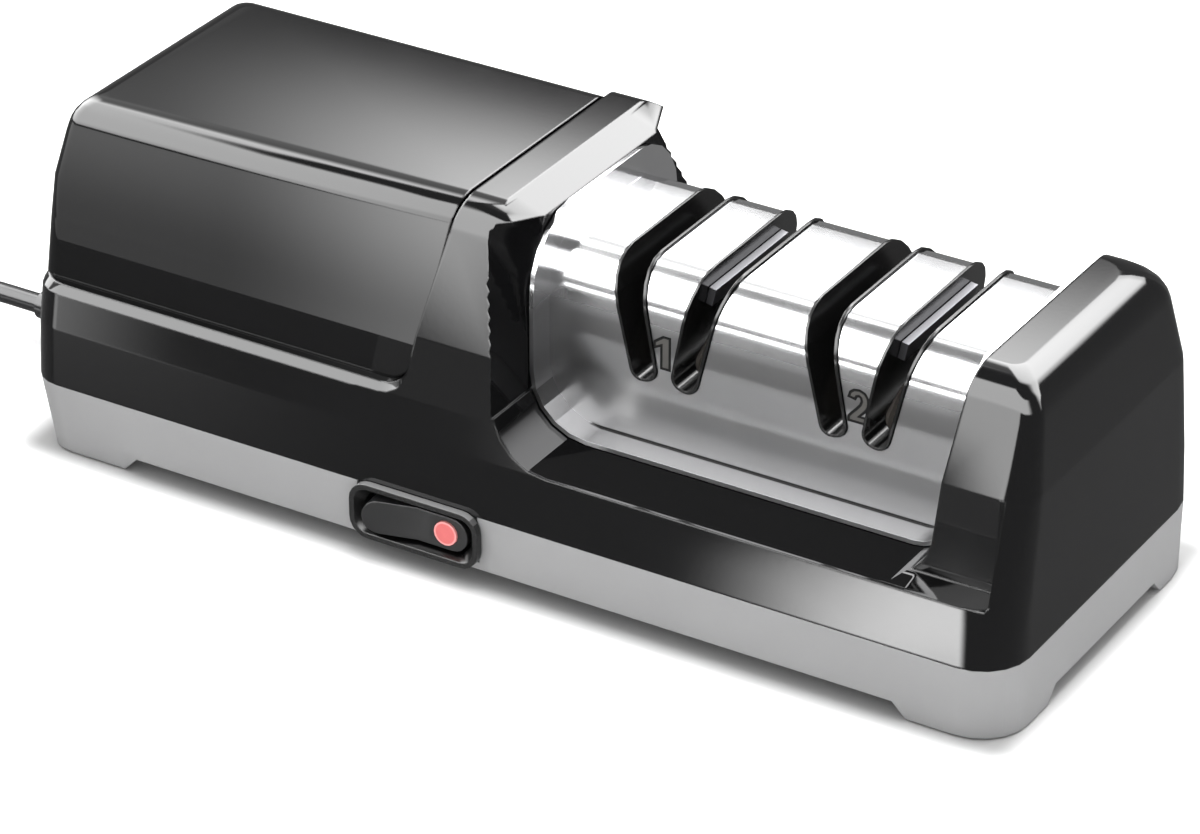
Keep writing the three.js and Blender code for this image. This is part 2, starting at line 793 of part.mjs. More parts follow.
function makeMainHousing() {
  const cavity = housingBody(WALL).subtract(
    joined([prism("y", pocketOutline(WALL), -FAR, FAR), mouthCutter(WALL), mirroredDepth(mouthCutter(WALL))]),
  );
  const pocketLeft = pocket.left - pocket.notchReach;
  const pocketEnd = pocketRight(axis.height);
  const opening = pocket.wheelOpeningHalf;
  const below = band.pocketHeight - OVERRUN;
  const middle = (pocket.left + pocketEnd) / 2;
  const coverOpening = half.depth - motorCover.foot - band.ledgeLip;
  const towerFace = grooveAt(band.ledgeHeight);
  const cuts = [
    cavity.subtract(chamferCutter(WALL)),
    prism("y", pocketOutline(0), -FAR, FAR),
    mouthCutter(0),
    mirroredDepth(mouthCutter(0)),
    chamferCutter(0),
    block(
      motorCover.endFoot - half.length + band.ledgeLip,
      towerFace - band.ledgeLip,
      -coverOpening,
      coverOpening,
      body.seamHeight,
      leftTower.height,
    ),
    block(
      pocket.left + pocket.wheelOpeningEnd,
      middle - pocket.bridge / 2,
      -opening,
      opening,
      below,
      axis.height,
    ),
    block(
      middle + pocket.bridge / 2,
      pocketEnd - pocket.wheelOpeningEnd,
      -opening,
      opening,
      below,
      axis.height,
    ),
  ];
  const notches = [
    [pocketLeft, pocket.left + pocket.wheelOpeningEnd + TOUCH_GAP],
    [pocketEnd - pocket.wheelOpeningEnd - TOUCH_GAP, pocketEnd + pocket.notchReach],
    [towerFace - pocket.notchReach, towerFace + pocket.notchReach],
  ];
  for (const [from, to] of notches) {
    cuts.push(block(from, to, -pocket.notchHalf, pocket.notchHalf, below, pocket.notchHeight));
  }
  return housingBody(0).subtract(joined(cuts));
}

addPiece("main_housing", makeMainHousing(), ...LOOK.gloss);

// Motor cover: a hood that stands on the ledge, open towards the left tower
function coverSide(creaseInset, topInset, radius) {
  return softened(
    [
      [half.depth - motorCover.foot, band.ledgeHeight],
      [half.depth - creaseInset, crease.height],
      [half.depth - topInset, motorCover.height, radius],
      [0, motorCover.height],
    ],
    false,
  );
}

const COVER_FRONT = coverSide(motorCover.crease, motorCover.frontTop, motorCover.frontRadius);
const COVER_REAR = coverSide(motorCover.rearCrease, motorCover.rearTop, motorCover.rearRadius);
const COVER_END = softened(
  [
    [half.length - motorCover.endFoot, band.ledgeHeight],
    [half.length - motorCover.endCrease, crease.height],
    [half.length - motorCover.endBend, motorCover.bendHeight],
    [half.length - motorCover.endTop, motorCover.height, motorCover.endRadius],
    [0, motorCover.height],
  ],
  false,
);
const COVER_BOW = [
  [0, crease.height],
  [motorCover.bow, motorCover.bowHeight],
];
const COVER_CORNER = [
  [motorCover.cornerRadius, band.ledgeHeight],
  [motorCover.cornerRadius, crease.height],
  [motorCover.topCornerRadius, motorCover.height],
];

function coverLoft(inset, from, to, pastGroove) {
  const heights = heightsOf([COVER_FRONT, COVER_REAR, COVER_END, COVER_BOW], from, to);
  return loft(heights, (z) => {
    const left = -reachAt(COVER_END, z) + inset;
    const right = grooveAt(z) - groove.width / 2 + pastGroove;
    const front = reachAt(COVER_FRONT, z) - inset;
    const rear = reachAt(COVER_REAR, z) - inset;
    const corner = Math.max(reachAt(COVER_CORNER, z) - inset, inset / 2);
    const bowed = [];
    for (let step = 1; step <= BOW_STEPS; step++) {
      const share = step / BOW_STEPS;
      bowed.push([left + (right - left) * share, -front + reachAt(COVER_BOW, z) * share ** 2]);
    }
    return softened([[left, -front, corner], ...bowed, [right, rear], [left, rear, corner]]);
  });
}

function makeMotorCover() {
  const inside = coverLoft(
    motorCover.wall,
    band.ledgeHeight - OVERRUN,
    motorCover.height - motorCover.wall,
    OVERRUN,
  );
  const faceAt = (z) => grooveAt(z) - groove.width / 2;
  const top = motorCover.height + OVERRUN;
  const outline = softened([
    [-FAR, band.ledgeHeight],
    [faceAt(band.ledgeHeight), band.ledgeHeight, motorCover.footRadius],
    [faceAt(top), top],
    [-FAR, top],
  ]);
  return coverLoft(0, band.ledgeHeight, motorCover.height, 0)
    .intersect(prism("y", outline, -FAR, FAR))
    .subtract(inside);
}

addPiece("motor_cover", makeMotorCover(), ...LOOK.gloss);

// Guide cover: a steel hood across the pocket with a flange against its walls and floor
function hoodOutline(offset, foot = band.pocketHeight + TOUCH_GAP) {
  const side = guideDepth + offset;
  const top = guide.height + offset;
  const radius = guide.shoulderRadius + offset;
  return softened([
    [-side, foot],
    [side, foot],
    [side, top, radius],
    [-side, top, radius],
  ]);
}

// A place in a slot, from the middle of its bottom: across it, outwards, and up along its lean
function slotPlace(middle, side, across, up) {
  const lean = radians(slot.lean);
  const out = slot.bottomOffset + across * Math.cos(lean) + up * Math.sin(lean);
  return [middle + side * out, slot.bottomHeight - across * Math.sin(lean) + up * Math.cos(lean)];
}

const SLOT_RISE = (guide.height - slot.bottomHeight) / Math.cos(radians(slot.lean));

function slotHalf(up) {
  return (slot.bottomWidth + ((slot.topWidth - slot.bottomWidth) * up) / SLOT_RISE) / 2;
}

function slotOutline(middle, side, inset) {
  const top = SLOT_RISE + OVERRUN;
  const low = slotHalf(0) - inset;
  const high = slotHalf(top) - inset;
  const round = low * slot.roundShare;
  const corners = [
    [-low, inset, round],
    [low, inset, round],
    [high, top],
    [-high, top],
  ];
  return softened(corners).map(([across, up]) => slotPlace(middle, side, across, up));
}

const SLOTS = [
  ["coarse_left", stage.coarse, -1],
  ["coarse_right", stage.coarse, 1],
  ["fine_left", stage.fine, -1],
  ["fine_right", stage.fine, 1],
];

function makeGuideCover() {
  const inside = prism("x", hoodOutline(-guide.sheet, band.pocketHeight - OVERRUN), -FAR, FAR);
  const between = prism("y", pocketOutline(-TOUCH_GAP), -FAR, FAR);
  const hood = prism("x", hoodOutline(0), -FAR / 2, FAR / 2).intersect(between);
  const ring = between
    .subtract(prism("y", pocketOutline(-TOUCH_GAP - guide.sheet), -FAR, FAR))
    .intersect(prism("x", hoodOutline(guide.flange), -FAR / 2, FAR / 2))
    .subtract(block(axis.height, FAR, -FAR, FAR, rightTower.height - TOUCH_GAP, FAR));
  const slots = SLOTS.map(([, middle, side]) => prism("y", slotOutline(middle, side, 0), -FAR, FAR));
  return hood.add(ring).subtract(inside).subtract(joined(slots));
}

addPiece("guide_cover", makeGuideCover(), ...LOOK.steel);

// Each slot has a lining, open where its wheel reaches in, and a magnet bar along its inner side
function makeLiner(middle, side) {
  const outer = prism("y", slotOutline(middle, side, FIT_GAP), -FAR, FAR);
  const inner = prism("y", slotOutline(middle, side, FIT_GAP + liner.wall), -FAR, FAR);
  const window = rod(
    wheel.radius + RUN_GAP * 2,
    middle - liner.windowOffset,
    middle + liner.windowOffset,
    ROUND,
  );
  return outer
    .subtract(inner)
    .intersect(prism("x", hoodOutline(liner.proud), -FAR / 2, FAR / 2))
    .subtract(window);
}

function makeMagnetBar(middle, side) {
  const low = (magnetBar.bottomHeight - slot.bottomHeight) / Math.cos(radians(slot.lean));
  const high = low + magnetBar.height;
  const wall = -slotHalf(high) + FIT_GAP * 2 + liner.wall;
  const face = wall + magnetBar.thickness;
  const corners = [
    [wall, low],
    [face, low],
    [face, high],
    [wall, high],
  ];
  const outline = corners.map(([across, up]) => slotPlace(middle, side, across, up));
  return prism("y", outline, -magnetBar.length / 2, magnetBar.length / 2);
}

for (const [name, middle, side] of SLOTS) {
  addPiece("slot_liner_" + name, makeLiner(middle, side), ...LOOK.darkPlastic);
  addPiece("magnet_bar_" + name, makeMagnetBar(middle, side), ...LOOK.zinc);
}

// Switch: a frame through the base's front wall, a rocker that tilts about an upright pin, and its lamp
const bezelFront = half.depth + FIT_GAP + bezel.proud;

function framed(width, tall, corner, from, to) {
  const outline = softened([
    [bezelX - width / 2, bezel.height - tall / 2, corner],
    [bezelX + width / 2, bezel.height - tall / 2, corner],
    [bezelX + width / 2, bezel.height + tall / 2, corner],
    [bezelX - width / 2, bezel.height + tall / 2, corner],
  ]);
  return prism("y", outline, from, to);
}

// The opening widens from its rounded ends to the frame's face
function makeFunnel() {
  const start = bezelFront - bezel.funnelDepth;
  return frontLoft([start, bezelFront + bezel.funnelDepth], (depth) => {
    const share = (depth - start) / bezel.funnelDepth;
    const mix = (from, to) => from + (to - from) * share;
    const width = mix(bezel.openWidth, bezel.width - bezel.rim * 2);
    const tall = mix(bezel.openTall, bezel.tall - bezel.rim * 2);
    const corner = mix(bezel.openTall / 2 - DEEPER, bezel.corner - bezel.rim);
    const [left, foot] = [bezelX - width / 2, bezel.height - tall / 2];
    return plate(left, left + width, foot, foot + tall, Array(4).fill(corner));
  });
}

function makeSwitchFrame() {
  const back = -bezelFront + bezel.proud;
  const end = back + switchBody.back;
  const rim = framed(bezel.width, bezel.tall, bezel.corner, -bezelFront, back);
  const box = framed(switchBody.width, switchBody.tall, 0, back, end);
  const opening = framed(bezel.openWidth, bezel.openTall, bezel.openTall / 2 - DEEPER, -FAR, end - switchBody.wall);
  return rim.add(box).subtract(joined([opening, makeFunnel()]));
}

const switchPivot = new THREE.Group();
switchPivot.position.set(bezelX, -bezelFront + rocker.pivotDepth, bezel.height);
switchPivot.rotation.z = radians(rocker.tilt);
sharpener.add(switchPivot);

const rockerFace = {
  middle: -(rocker.pivotDepth - rocker.middleDepth),
  end: -(rocker.pivotDepth + rocker.endProud),
};
const lampFace = rockerFace.middle + ((rockerFace.end - rockerFace.middle) * lamp.offset) / rocker.half;

function lampRod(radius, from, to) {
  const slope = Math.atan2(rockerFace.end - rockerFace.middle, rocker.half);
  const geometry = new THREE.CylinderGeometry(radius, radius, to - from, SMALL_ROUND);
  geometry.translate(0, (from + to) / 2, 0).rotateZ(slope).translate(lamp.offset, lampFace, 0);
  return solidFrom(geometry);
}

function makeRocker() {
  const pivotToSide = -(rocker.pivotDepth - rocker.sideDepth);
  const keel = rocker.keelDepth - rocker.pivotDepth;
  const outline = [
    [-rocker.half, rockerFace.end],
    [0, rockerFace.middle],
    [rocker.half, rockerFace.end],
    [rocker.half, pivotToSide],
    [rocker.keelHalf, keel],
    [-rocker.keelHalf, keel],
    [-rocker.half, pivotToSide],
  ];
  const hole = lampRod(lamp.radius + FIT_GAP, -OVERRUN, lamp.depth + FIT_GAP);
  const [end, side] = [rocker.half, rocker.tall / 2];
  const rounded = plate(-end, end, -side, side, Array(4).fill(side - DEEPER));
  return prism("z", outline, -side, side).intersect(prism("y", rounded, -FAR, FAR)).subtract(hole);
}

addPiece("switch_frame", makeSwitchFrame(), ...LOOK.darkPlastic);
addPiece("switch_rocker", makeRocker(), ...LOOK.darkPlastic, switchPivot);
addPiece("lamp_lens", lampRod(lamp.radius, -lamp.proud, lamp.depth), ...LOOK.red, switchPivot);

// Motor
const bushHole = motor.bushRadius + FIT_GAP;
const nose = can.left - motor.noseLength;

function makeMotorCan() {
  const floor = can.left + motor.can;
  return turned([
    [nose, bushHole],
    [nose, motor.noseRadius],
    [can.left, motor.noseRadius],
    [can.left, motor.radius],
    [can.right, motor.radius],
    [can.right, can.inner],
    [floor, can.inner],
    [floor, bushHole],
  ]);
}

function makeMagnet(side) {
  const outer = can.inner - FIT_GAP;
  const inner = outer - magnet.thickness;
  const outline = [];
  const angleAt = (step) => radians(magnet.halfAngle) * ((2 * step) / (ARC_STEPS * 2) - 1);
  for (let step = 0; step <= ARC_STEPS * 2; step++) {
    outline.push([side * outer * Math.cos(angleAt(step)), axis.height + outer * Math.sin(angleAt(step))]);
  }
  for (let step = ARC_STEPS * 2; step >= 0; step--) {
    outline.push([side * inner * Math.cos(angleAt(step)), axis.height + inner * Math.sin(angleAt(step))]);
  }
  return prism("x", outline, can.left + magnet.inset, can.right - magnet.rightInset);
}

function circle(radius, segments, height = axis.height) {
  const outline = [];
  for (let step = 0; step < segments; step++) {
    const angle = (2 * Math.PI * step) / segments;
    outline.push([radius * Math.cos(angle), height + radius * Math.sin(angle)]);
  }
  return outline;
}

function makeRotor() {
  const floor = rotor.radius - rotor.slotDepth;
  const outerGap = Math.asin(rotor.slotWidth / 2 / rotor.radius);
  const innerGap = Math.asin(rotor.slotWidth / 2 / floor);
  const pole = (2 * Math.PI) / rotor.poles;
  const outline = [];
  const add = (radius, angle) => outline.push([radius * Math.cos(angle), axis.height + radius * Math.sin(angle)]);
  for (let index = 0; index < rotor.poles; index++) {
    const start = pole * index;
    for (let step = 0; step <= ARC_STEPS; step++) {
      add(rotor.radius, start + outerGap + ((pole - 2 * outerGap) * step) / ARC_STEPS);
    }
    add(floor, start + pole - innerGap);
    add(floor, start + pole + innerGap);
  }
  const bore = circle(motor.shaftRadius + FIT_GAP, SMALL_ROUND);
  return prism("x", outline, can.left + rotor.inset, can.right - rotor.rightInset, [bore]);
}

function makeBrush(side) {
  const inner = commutator.radius + RUN_GAP;
  const outer = inner + brush.reach;
  const [low, high] = [axis.height - brush.half, axis.height + brush.half];
  const [near, far] = [side * inner, side * outer].sort((a, b) => a - b);
  return block(bell.left - brush.length, bell.left, near, far, low, high);
}

function makeFan() {
  const left = bell.right + fan.fromBell;
  const right = left + fan.length;
  const hub = sleeve(motor.shaftRadius + FIT_GAP, fan.hubRadius, left, right);
  const disc = sleeve(fan.hubRadius - fan.blade, fan.radius, right - fan.disc, right, ROUND);
  const blade = block(left, right, -fan.blade / 2, fan.blade / 2, fan.hubRadius - fan.blade, fan.radius);
  const blades = [];
  for (let index = 0; index < fan.blades; index++) {
    blades.push(blade.rotate([(360 * index) / fan.blades, 0, 0]).translate([0, 0, axis.height]));
  }
  return joined([hub, disc, ...blades]);
}

addPiece("motor_can", makeMotorCan(), ...LOOK.zinc);
addPiece("motor_end_bell", sleeve(bushHole, motor.radius, bell.left, bell.right, ROUND), ...LOOK.darkPlastic);
addPiece("motor_magnet_front", makeMagnet(-1), ...LOOK.rubber);
addPiece("motor_magnet_rear", makeMagnet(1), ...LOOK.rubber);
addPiece("rotor_core", makeRotor(), ...LOOK.zinc);
const commutatorRight = bell.left - commutator.fromBell;
addPiece(
  "commutator",
  sleeve(motor.shaftRadius + FIT_GAP, commutator.radius, commutatorRight - commutator.length, commutatorRight),
  ...LOOK.brass,
);
addPiece("brush_front", makeBrush(-1), ...LOOK.rubber);
addPiece("brush_rear", makeBrush(1), ...LOOK.rubber);
addPiece("motor_shaft", rod(motor.shaftRadius, can.left - motor.shaftProud, motorShaftRight), ...LOOK.zinc);
const shaftBore = motor.shaftRadius + RUN_GAP;
addPiece("motor_bush_left", sleeve(shaftBore, motor.bushRadius, nose, nose + motor.bushLength), ...LOOK.brass);
addPiece(
  "motor_bush_right",
  sleeve(shaftBore, motor.bushRadius, bell.right - motor.bushLength, bell.right),
  ...LOOK.brass,
);
addPiece("cooling_fan", makeFan(), ...LOOK.darkPlastic);

// Drive line: a coupling and a shaft in two bushes, with a collar and two cross pins for each pair of wheels
function makeCoupling() {
  const middle = (motorShaftRight + shaftLeft) / 2;
  const small = motor.shaftRadius + FIT_GAP;
  const large = shaft.radius + FIT_GAP;
  return turned(
    [
      [middle - coupling.half, small],
      [middle - coupling.half, coupling.radius],
      [middle + coupling.half, coupling.radius],
      [middle + coupling.half, large],
      [middle, large],
      [middle, small],
    ],
    SMALL_ROUND,
  );
}

const pinOffset = wheel.hubEnd - wheel.notchDepth + FIT_GAP + pin.radius;

function makeDriveShaft() {
  const holes = SLOTS.map(([, middle, side]) =>
    upright(
      pin.radius + FIT_GAP,
      middle + side * pinOffset,
      0,
      axis.height - shaft.radius - OVERRUN,
      axis.height + shaft.radius + OVERRUN,
      ROUND / 4,
    ),
  );
  return rod(shaft.radius, shaftLeft, half.length - shaft.right).subtract(joined(holes));
}

addPiece("shaft_coupling", makeCoupling(), ...LOOK.darkPlastic);
addPiece("drive_shaft", makeDriveShaft(), ...LOOK.zinc);
for (const [name, x] of [
  ["shaft_bush_middle", bearings.middle],
  ["shaft_bush_right", bearings.right],
]) {
  const [from, to] = [x - bearing.bushLength / 2, x + bearing.bushLength / 2];
  addPiece(name, sleeve(shaft.radius + RUN_GAP, bearing.bushRadius, from, to), ...LOOK.brass);
}
for (const [name, middle] of Object.entries(stage)) {
  const ring = sleeve(shaft.radius + FIT_GAP, collar.radius, middle - collar.half, middle + collar.half);
  addPiece("spring_collar_" + name, ring, ...LOOK.zinc);
}

// Abrasive wheels: each slides on the shaft, pressed outwards by a spring against its cross pin
function makeWheel(middle, side) {
  const bore = shaft.radius + FIT_GAP;
  const outline = [
    [wheel.back, wheel.springBore],
    [wheel.back, wheel.radius],
    [wheel.rimFace, wheel.radius],
    [wheel.innerFace, wheel.innerRadius],
    [wheel.innerFace, wheel.hubRadius],
    [wheel.hubEnd, wheel.hubRadius],
    [wheel.hubEnd, bore],
    [wheel.springSeat, bore],
    [wheel.springSeat, wheel.springBore],
  ];
  const solid = turned(outline.map(([out, radius]) => [middle + side * out, radius]));
  const end = middle + side * wheel.hubEnd;
  const floor = middle + side * (wheel.hubEnd - wheel.notchDepth);
  const past = end + side * OVERRUN;
  const halfWidth = pin.radius + FIT_GAP;
  const notch = block(
    Math.min(floor, past),
    Math.max(floor, past),
    -halfWidth,
    halfWidth,
    axis.height - wheel.radius,
    axis.height + wheel.radius,
  );
  return solid.subtract(notch);
}

// A tube of straight-sided section through close points, turned so that one side faces along an axis
function woundTube(points, facing, radius, sides) {
  const rings = points.map((point, index) => {
    const before = points[Math.max(index - 1, 0)];
    const after = points[Math.min(index + 1, points.length - 1)];
    const tangent = after.clone().sub(before).normalize();
    const across = tangent.clone().cross(facing).normalize();
    const up = across.clone().cross(tangent);
    return Array.from({ length: sides }, (_, side) => {
      const angle = (2 * Math.PI * side) / sides;
      return point
        .clone()
        .addScaledVector(across, radius * Math.cos(angle))
        .addScaledVector(up, radius * Math.sin(angle));
    });
  });
  const triangles = [];
  for (let index = 1; index < rings.length; index++) {
    const [near, far] = [rings[index - 1], rings[index]];
    near.forEach((corner, side) => {
      const next = (side + 1) % sides;
      triangles.push(corner, far[next], near[next], corner, far[side], far[next]);
    });
  }
  const last = rings.at(-1);
  for (let side = 1; side < sides - 1; side++) {
    triangles.push(rings[0][0], rings[0][side], rings[0][side + 1]);
    triangles.push(last[0], last[side + 1], last[side]);
  }
  return new THREE.BufferGeometry().setFromPoints(triangles);
}

function solidTube(points, facing, radius, sides) {
  const geometry = woundTube(points, facing, radius, sides);
  const solid = solidFrom(geometry);
  return solid.volume() < 0 ? solidFrom(flipped(geometry)) : solid;
}

const CURL_STEPS = 8;
const CURL_SIDES = 5;

function makeSpring(middle, side) {
  const from = collar.half + FIT_GAP + spring.wire / 2;
  const to = wheel.springSeat - FIT_GAP - spring.wire / 2;
  const count = CURL_STEPS * spring.turns;
  const points = Array.from({ length: count + 1 }, (_, step) => {
    const angle = (2 * Math.PI * step) / CURL_STEPS;
    return new THREE.Vector3(
      middle + side * (from + ((to - from) * step) / count),
      spring.meanRadius * Math.cos(angle),
      axis.height + spring.meanRadius * Math.sin(angle),
    );
  });
  return solidTube(points, X, spring.wire / 2, CURL_SIDES);
}

for (const [name, middle, side] of SLOTS) {
  const pinX = middle + side * pinOffset;
  const pinSolid = upright(pin.radius, pinX, 0, axis.height - pin.half, axis.height + pin.half, ROUND / 4);
  addPiece("drive_pin_" + name, pinSolid, ...LOOK.zinc);
  addPiece("wheel_" + name, makeWheel(middle, side), ...LOOK.abrasive);
  addPiece("wheel_spring_" + name, makeSpring(middle, side), ...LOOK.zinc);
}

// Board that feeds the motor, on the base's floor behind the wheels
const boardFoot = base.footHeight + WALL;

function makeBoard() {
  const low = boardFoot + board.stand;
  const high = low + board.thickness;
  const [x, y] = [pocket.left + board.right, half.depth - board.rear];
  const left = x - board.width / 2;
  const front = y - board.deep / 2;
  const inset = (board.deep - board.part) / 2;
  return joined([
    block(left, left + board.width, front, front + board.deep, low, high),
    block(left + inset, left + inset + board.part, front + inset, front + inset + board.part, high, high + board.partTall),
    upright(board.part / 2, x + board.part, y, low + board.thickness / 2, high + board.partTall),
    block(left + board.thickness, left + board.stand, front + inset, front + inset + board.part, boardFoot, low),
    block(
      left + board.width - board.stand,
      left + board.width - board.thickness,
      front + inset,
      front + inset + board.part,
      boardFoot,
      low,
    ),
  ]);
}

addPiece("motor_supply_board", makeBoard(), ...LOOK.board);

// Mains lead: strain relief, the free stretch, the coil that is put away, and the plug
function makeRelief() {
  const wallAt = half.length - base.leftTaper * (1 - cord.height / body.seamHeight);
  const tip = -wallAt - relief.length;
  const collarFrom = -wallAt + WALL * 2;
  const place = [0, cord.y, 0];
  const cone = turned(
    [
      [tip, 0],
      [tip, relief.tipRadius],
      [-wallAt, relief.rootRadius],
      [-wallAt + WALL, relief.rootRadius],
      [-wallAt + WALL, 0],
    ],
    SMALL_ROUND,
    cord.height,
  ).translate(place);
  const wall = loft([-OVERRUN, body.seamHeight + OVERRUN], (z) => baseOutline(z, -TOUCH_GAP));
  const neck = rod(relief.neck, -wallAt - TOUCH_GAP, collarFrom + relief.flange, SMALL_ROUND, cord.height);
  const flange = rod(relief.flangeRadius, collarFrom, collarFrom + relief.flange, SMALL_ROUND, cord.height);
  const floor = block(-FAR, FAR, -FAR, FAR, -FAR, base.footHeight + WALL + TOUCH_GAP);
  return cone
    .subtract(wall)
    .add(neck.translate(place))
    .add(flange.translate(place).subtract(floor));
}

const reliefTip = -(half.length - base.leftTaper * (1 - cord.height / body.seamHeight)) - relief.length;
const cordRadius = cord.diameter / 2;
const coilPitch = cord.diameter + coil.looseness;
const coilOuter = coil.meanRadius + (coilPitch * coil.turns) / 4;
const coilStart = coil.x + cord.diameter;

// Route of the free stretch: how far along it, as [share of the way, height]
const CORD_ROUTE_SHARES = [
  [0, cord.height],
  [0.04, cord.height],
  [0.08, cord.height],
  [0.12, cord.height],
  [0.16, cord.height],
  [0.2, cord.height],
  [0.25, cord.height],
  [0.35, cord.height * 0.96],
  [0.45, cord.height * 0.857],
  [0.55, cord.height * 0.715],
  [0.65, cord.height * 0.558],
  [0.75, cord.height * 0.411],
  [0.85, cord.height * 0.298],
  [0.93, cord.height * 0.249],
  [1, cordRadius],
];

function makeCord() {
  const from = reliefTip - TOUCH_GAP;
  const to = coilStart + TOUCH_GAP;
  const points = CORD_ROUTE_SHARES.map(([share, z]) => new THREE.Vector3(from + (to - from) * share, cord.y, z));
  const path = new THREE.CatmullRomCurve3(points);
  const section = new THREE.Shape(circle(cordRadius, cord.sides, 0).map(([u, v]) => new THREE.Vector2(u, v)));
  return solidFrom(new THREE.ExtrudeGeometry(section, { steps: cord.steps, extrudePath: path }));
}

// The coil spirals in on the table and out again on top of itself, and climbs where it turns back
function coilPoint(turn) {
  const angle = Math.PI / 2 + 2 * Math.PI * turn;
  const fromMiddle = turn - coil.turns / 2;
  const radius = coilOuter - (coil.turns / 2 - Math.abs(fromMiddle)) * coilPitch;
  const climb = THREE.MathUtils.smoothstep(fromMiddle, -1 / 4, 1 / 4);
  return new THREE.Vector3(
    coil.x + radius * Math.cos(angle),
    cord.y - coilOuter + radius * Math.sin(angle),
    cordRadius + climb * coilPitch,
  );
}

function makeCoil() {
  const count = Math.round(coil.turns * coil.stepsPerTurn);
  const points = Array.from({ length: count + 1 }, (_, step) => coilPoint((coil.turns * step) / count));
  points.unshift(points[0].clone().setX(coilStart));
  points.push(points.at(-1).clone().add(new THREE.Vector3(coil.tail, 0, 0)));
  let least = Infinity;
  points.forEach((point, index) => {
    for (const other of points.slice(index + coil.stepsPerTurn / 2)) {
      least = Math.min(least, point.distanceTo(other) - cord.diameter);
    }
  });
  const length = points.slice(1).reduce((sum, point, index) => sum + point.distanceTo(points[index]), 0);
  console.log("coil: least gap to itself " + least.toFixed(2) + " mm, length " + length.toFixed(0) + " mm");
  return solidTube(points, Z, cordRadius, coil.sides);
}

const plugPlace = {
  x: coil.x + coil.tail + TOUCH_GAP,
  y: cord.y - coilOuter * 2,
  height: cordRadius + coilPitch,
};

function makePlug() {
  const boot = new THREE.CylinderGeometry(plug.bootRoot, plug.bootTip, plug.boot, SMALL_ROUND);
  boot.rotateZ(-Math.PI / 2).translate(plugPlace.x + plug.boot / 2, plugPlace.y, plugPlace.height);
  const bodyFrom = plugPlace.x + plug.boot;
  const [left, foot] = [plugPlace.y - plug.width / 2, plugPlace.height - plug.tall / 2];
  const outline = plate(left, left + plug.width, foot, foot + plug.tall, Array(4).fill(plug.corner));
  return solidFrom(boot).add(prism("x", outline, bodyFrom, bodyFrom + plug.length));
}

addPiece("cord_strain_relief", makeRelief(), ...LOOK.rubber);
addPiece("mains_cord", makeCord(), ...LOOK.rubber);
addPiece("mains_cord_coil", makeCoil(), ...LOOK.rubber);
addPiece("plug_body", makePlug(), ...LOOK.rubber);
for (const [name, side] of [
  ["left", -1],
  ["right", 1],
]) {
  const y = plugPlace.y - (side * plug.bladeSpacing) / 2;
  const from = plugPlace.x + plug.boot + plug.length;
  const blade = block(
    from,
    from + plug.bladeLength,
    y - plug.bladeThickness / 2,
    y + plug.bladeThickness / 2,
    plugPlace.height - plug.bladeWidth / 2,
    plugPlace.height + plug.bladeWidth / 2,
  );
  addPiece("plug_blade_" + name, blade, ...LOOK.zinc);
}

// The origin lies under the middle of the body with its switch
const rockerReach =
  (rocker.pivotDepth + rocker.endProud) * Math.cos(radians(rocker.tilt)) +
  rocker.half * Math.sin(radians(rocker.tilt));
const front = bezelFront - rocker.pivotDepth + rockerReach;
sharpener.position.y = (front - half.depth) / 2;

export default sharpener;
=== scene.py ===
from math import cos, pi, radians, sin
import bpy
import bmesh
from mathutils import Matrix, Vector


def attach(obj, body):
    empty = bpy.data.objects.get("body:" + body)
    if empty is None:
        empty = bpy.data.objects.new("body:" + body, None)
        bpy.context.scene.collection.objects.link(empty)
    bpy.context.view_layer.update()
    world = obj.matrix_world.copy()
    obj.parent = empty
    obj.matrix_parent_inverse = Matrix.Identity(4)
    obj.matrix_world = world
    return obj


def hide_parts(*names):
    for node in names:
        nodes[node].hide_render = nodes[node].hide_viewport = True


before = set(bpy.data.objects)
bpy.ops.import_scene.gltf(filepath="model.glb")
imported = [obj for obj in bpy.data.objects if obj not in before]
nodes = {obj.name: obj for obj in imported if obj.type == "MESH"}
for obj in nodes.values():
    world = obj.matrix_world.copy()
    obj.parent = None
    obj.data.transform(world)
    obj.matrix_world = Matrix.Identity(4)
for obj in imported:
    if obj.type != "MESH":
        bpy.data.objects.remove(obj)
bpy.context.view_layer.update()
MM = 0.001

# Camera
# A long lens looks down on the sharpener from its front right, as a catalogue photographer would stand.
# Its place was solved from the edges of the body in the photograph.
CAMERA_PLACE = Vector((494.26, -814.33, 561.27)) * MM
CAMERA_TURN = 31.272  # degrees to the right of the front
CAMERA_DOWN = 29.604  # degrees below the horizon
CAMERA_LENS = 153.68  # millimetres, as the sensor's width
SENSOR_WIDTH = 36
CAMERA_REACH = 20  # metres

camera_data = bpy.data.cameras.new("photograph_camera")
camera_data.lens = CAMERA_LENS
camera_data.sensor_width = SENSOR_WIDTH
camera_data.clip_end = CAMERA_REACH
camera = bpy.data.objects.new("photograph_camera", camera_data)
camera.location = CAMERA_PLACE
camera.rotation_euler = (radians(90 - CAMERA_DOWN), 0, radians(CAMERA_TURN))
bpy.context.scene.collection.objects.link(camera)
bpy.context.scene.camera = camera

# Mains lead
# A dark glossy vinyl lead leaves the left end, runs down to the table and is wound into a coil outside
# the view. It is one extruded sheath, so it is one curve from the strain relief to the plug.
CORD_DIAMETER = 4.6 * MM
CORD_Y = -5.735 * MM
CORD_HEIGHT = 9.5 * MM
CORD_START_X = -144.8 * MM
COIL_X = -198 * MM
COIL_TURNS = 7.5
COIL_RADIUS = 27 * MM
COIL_LOOSENESS = 0.5 * MM
COIL_TAIL = 18 * MM
CLIMB_TURNS = 0.5  # in the middle of the coil the lead climbs onto itself within this part of a turn
POINTS_PER_TURN = 24
SHEATH_STEPS = 5
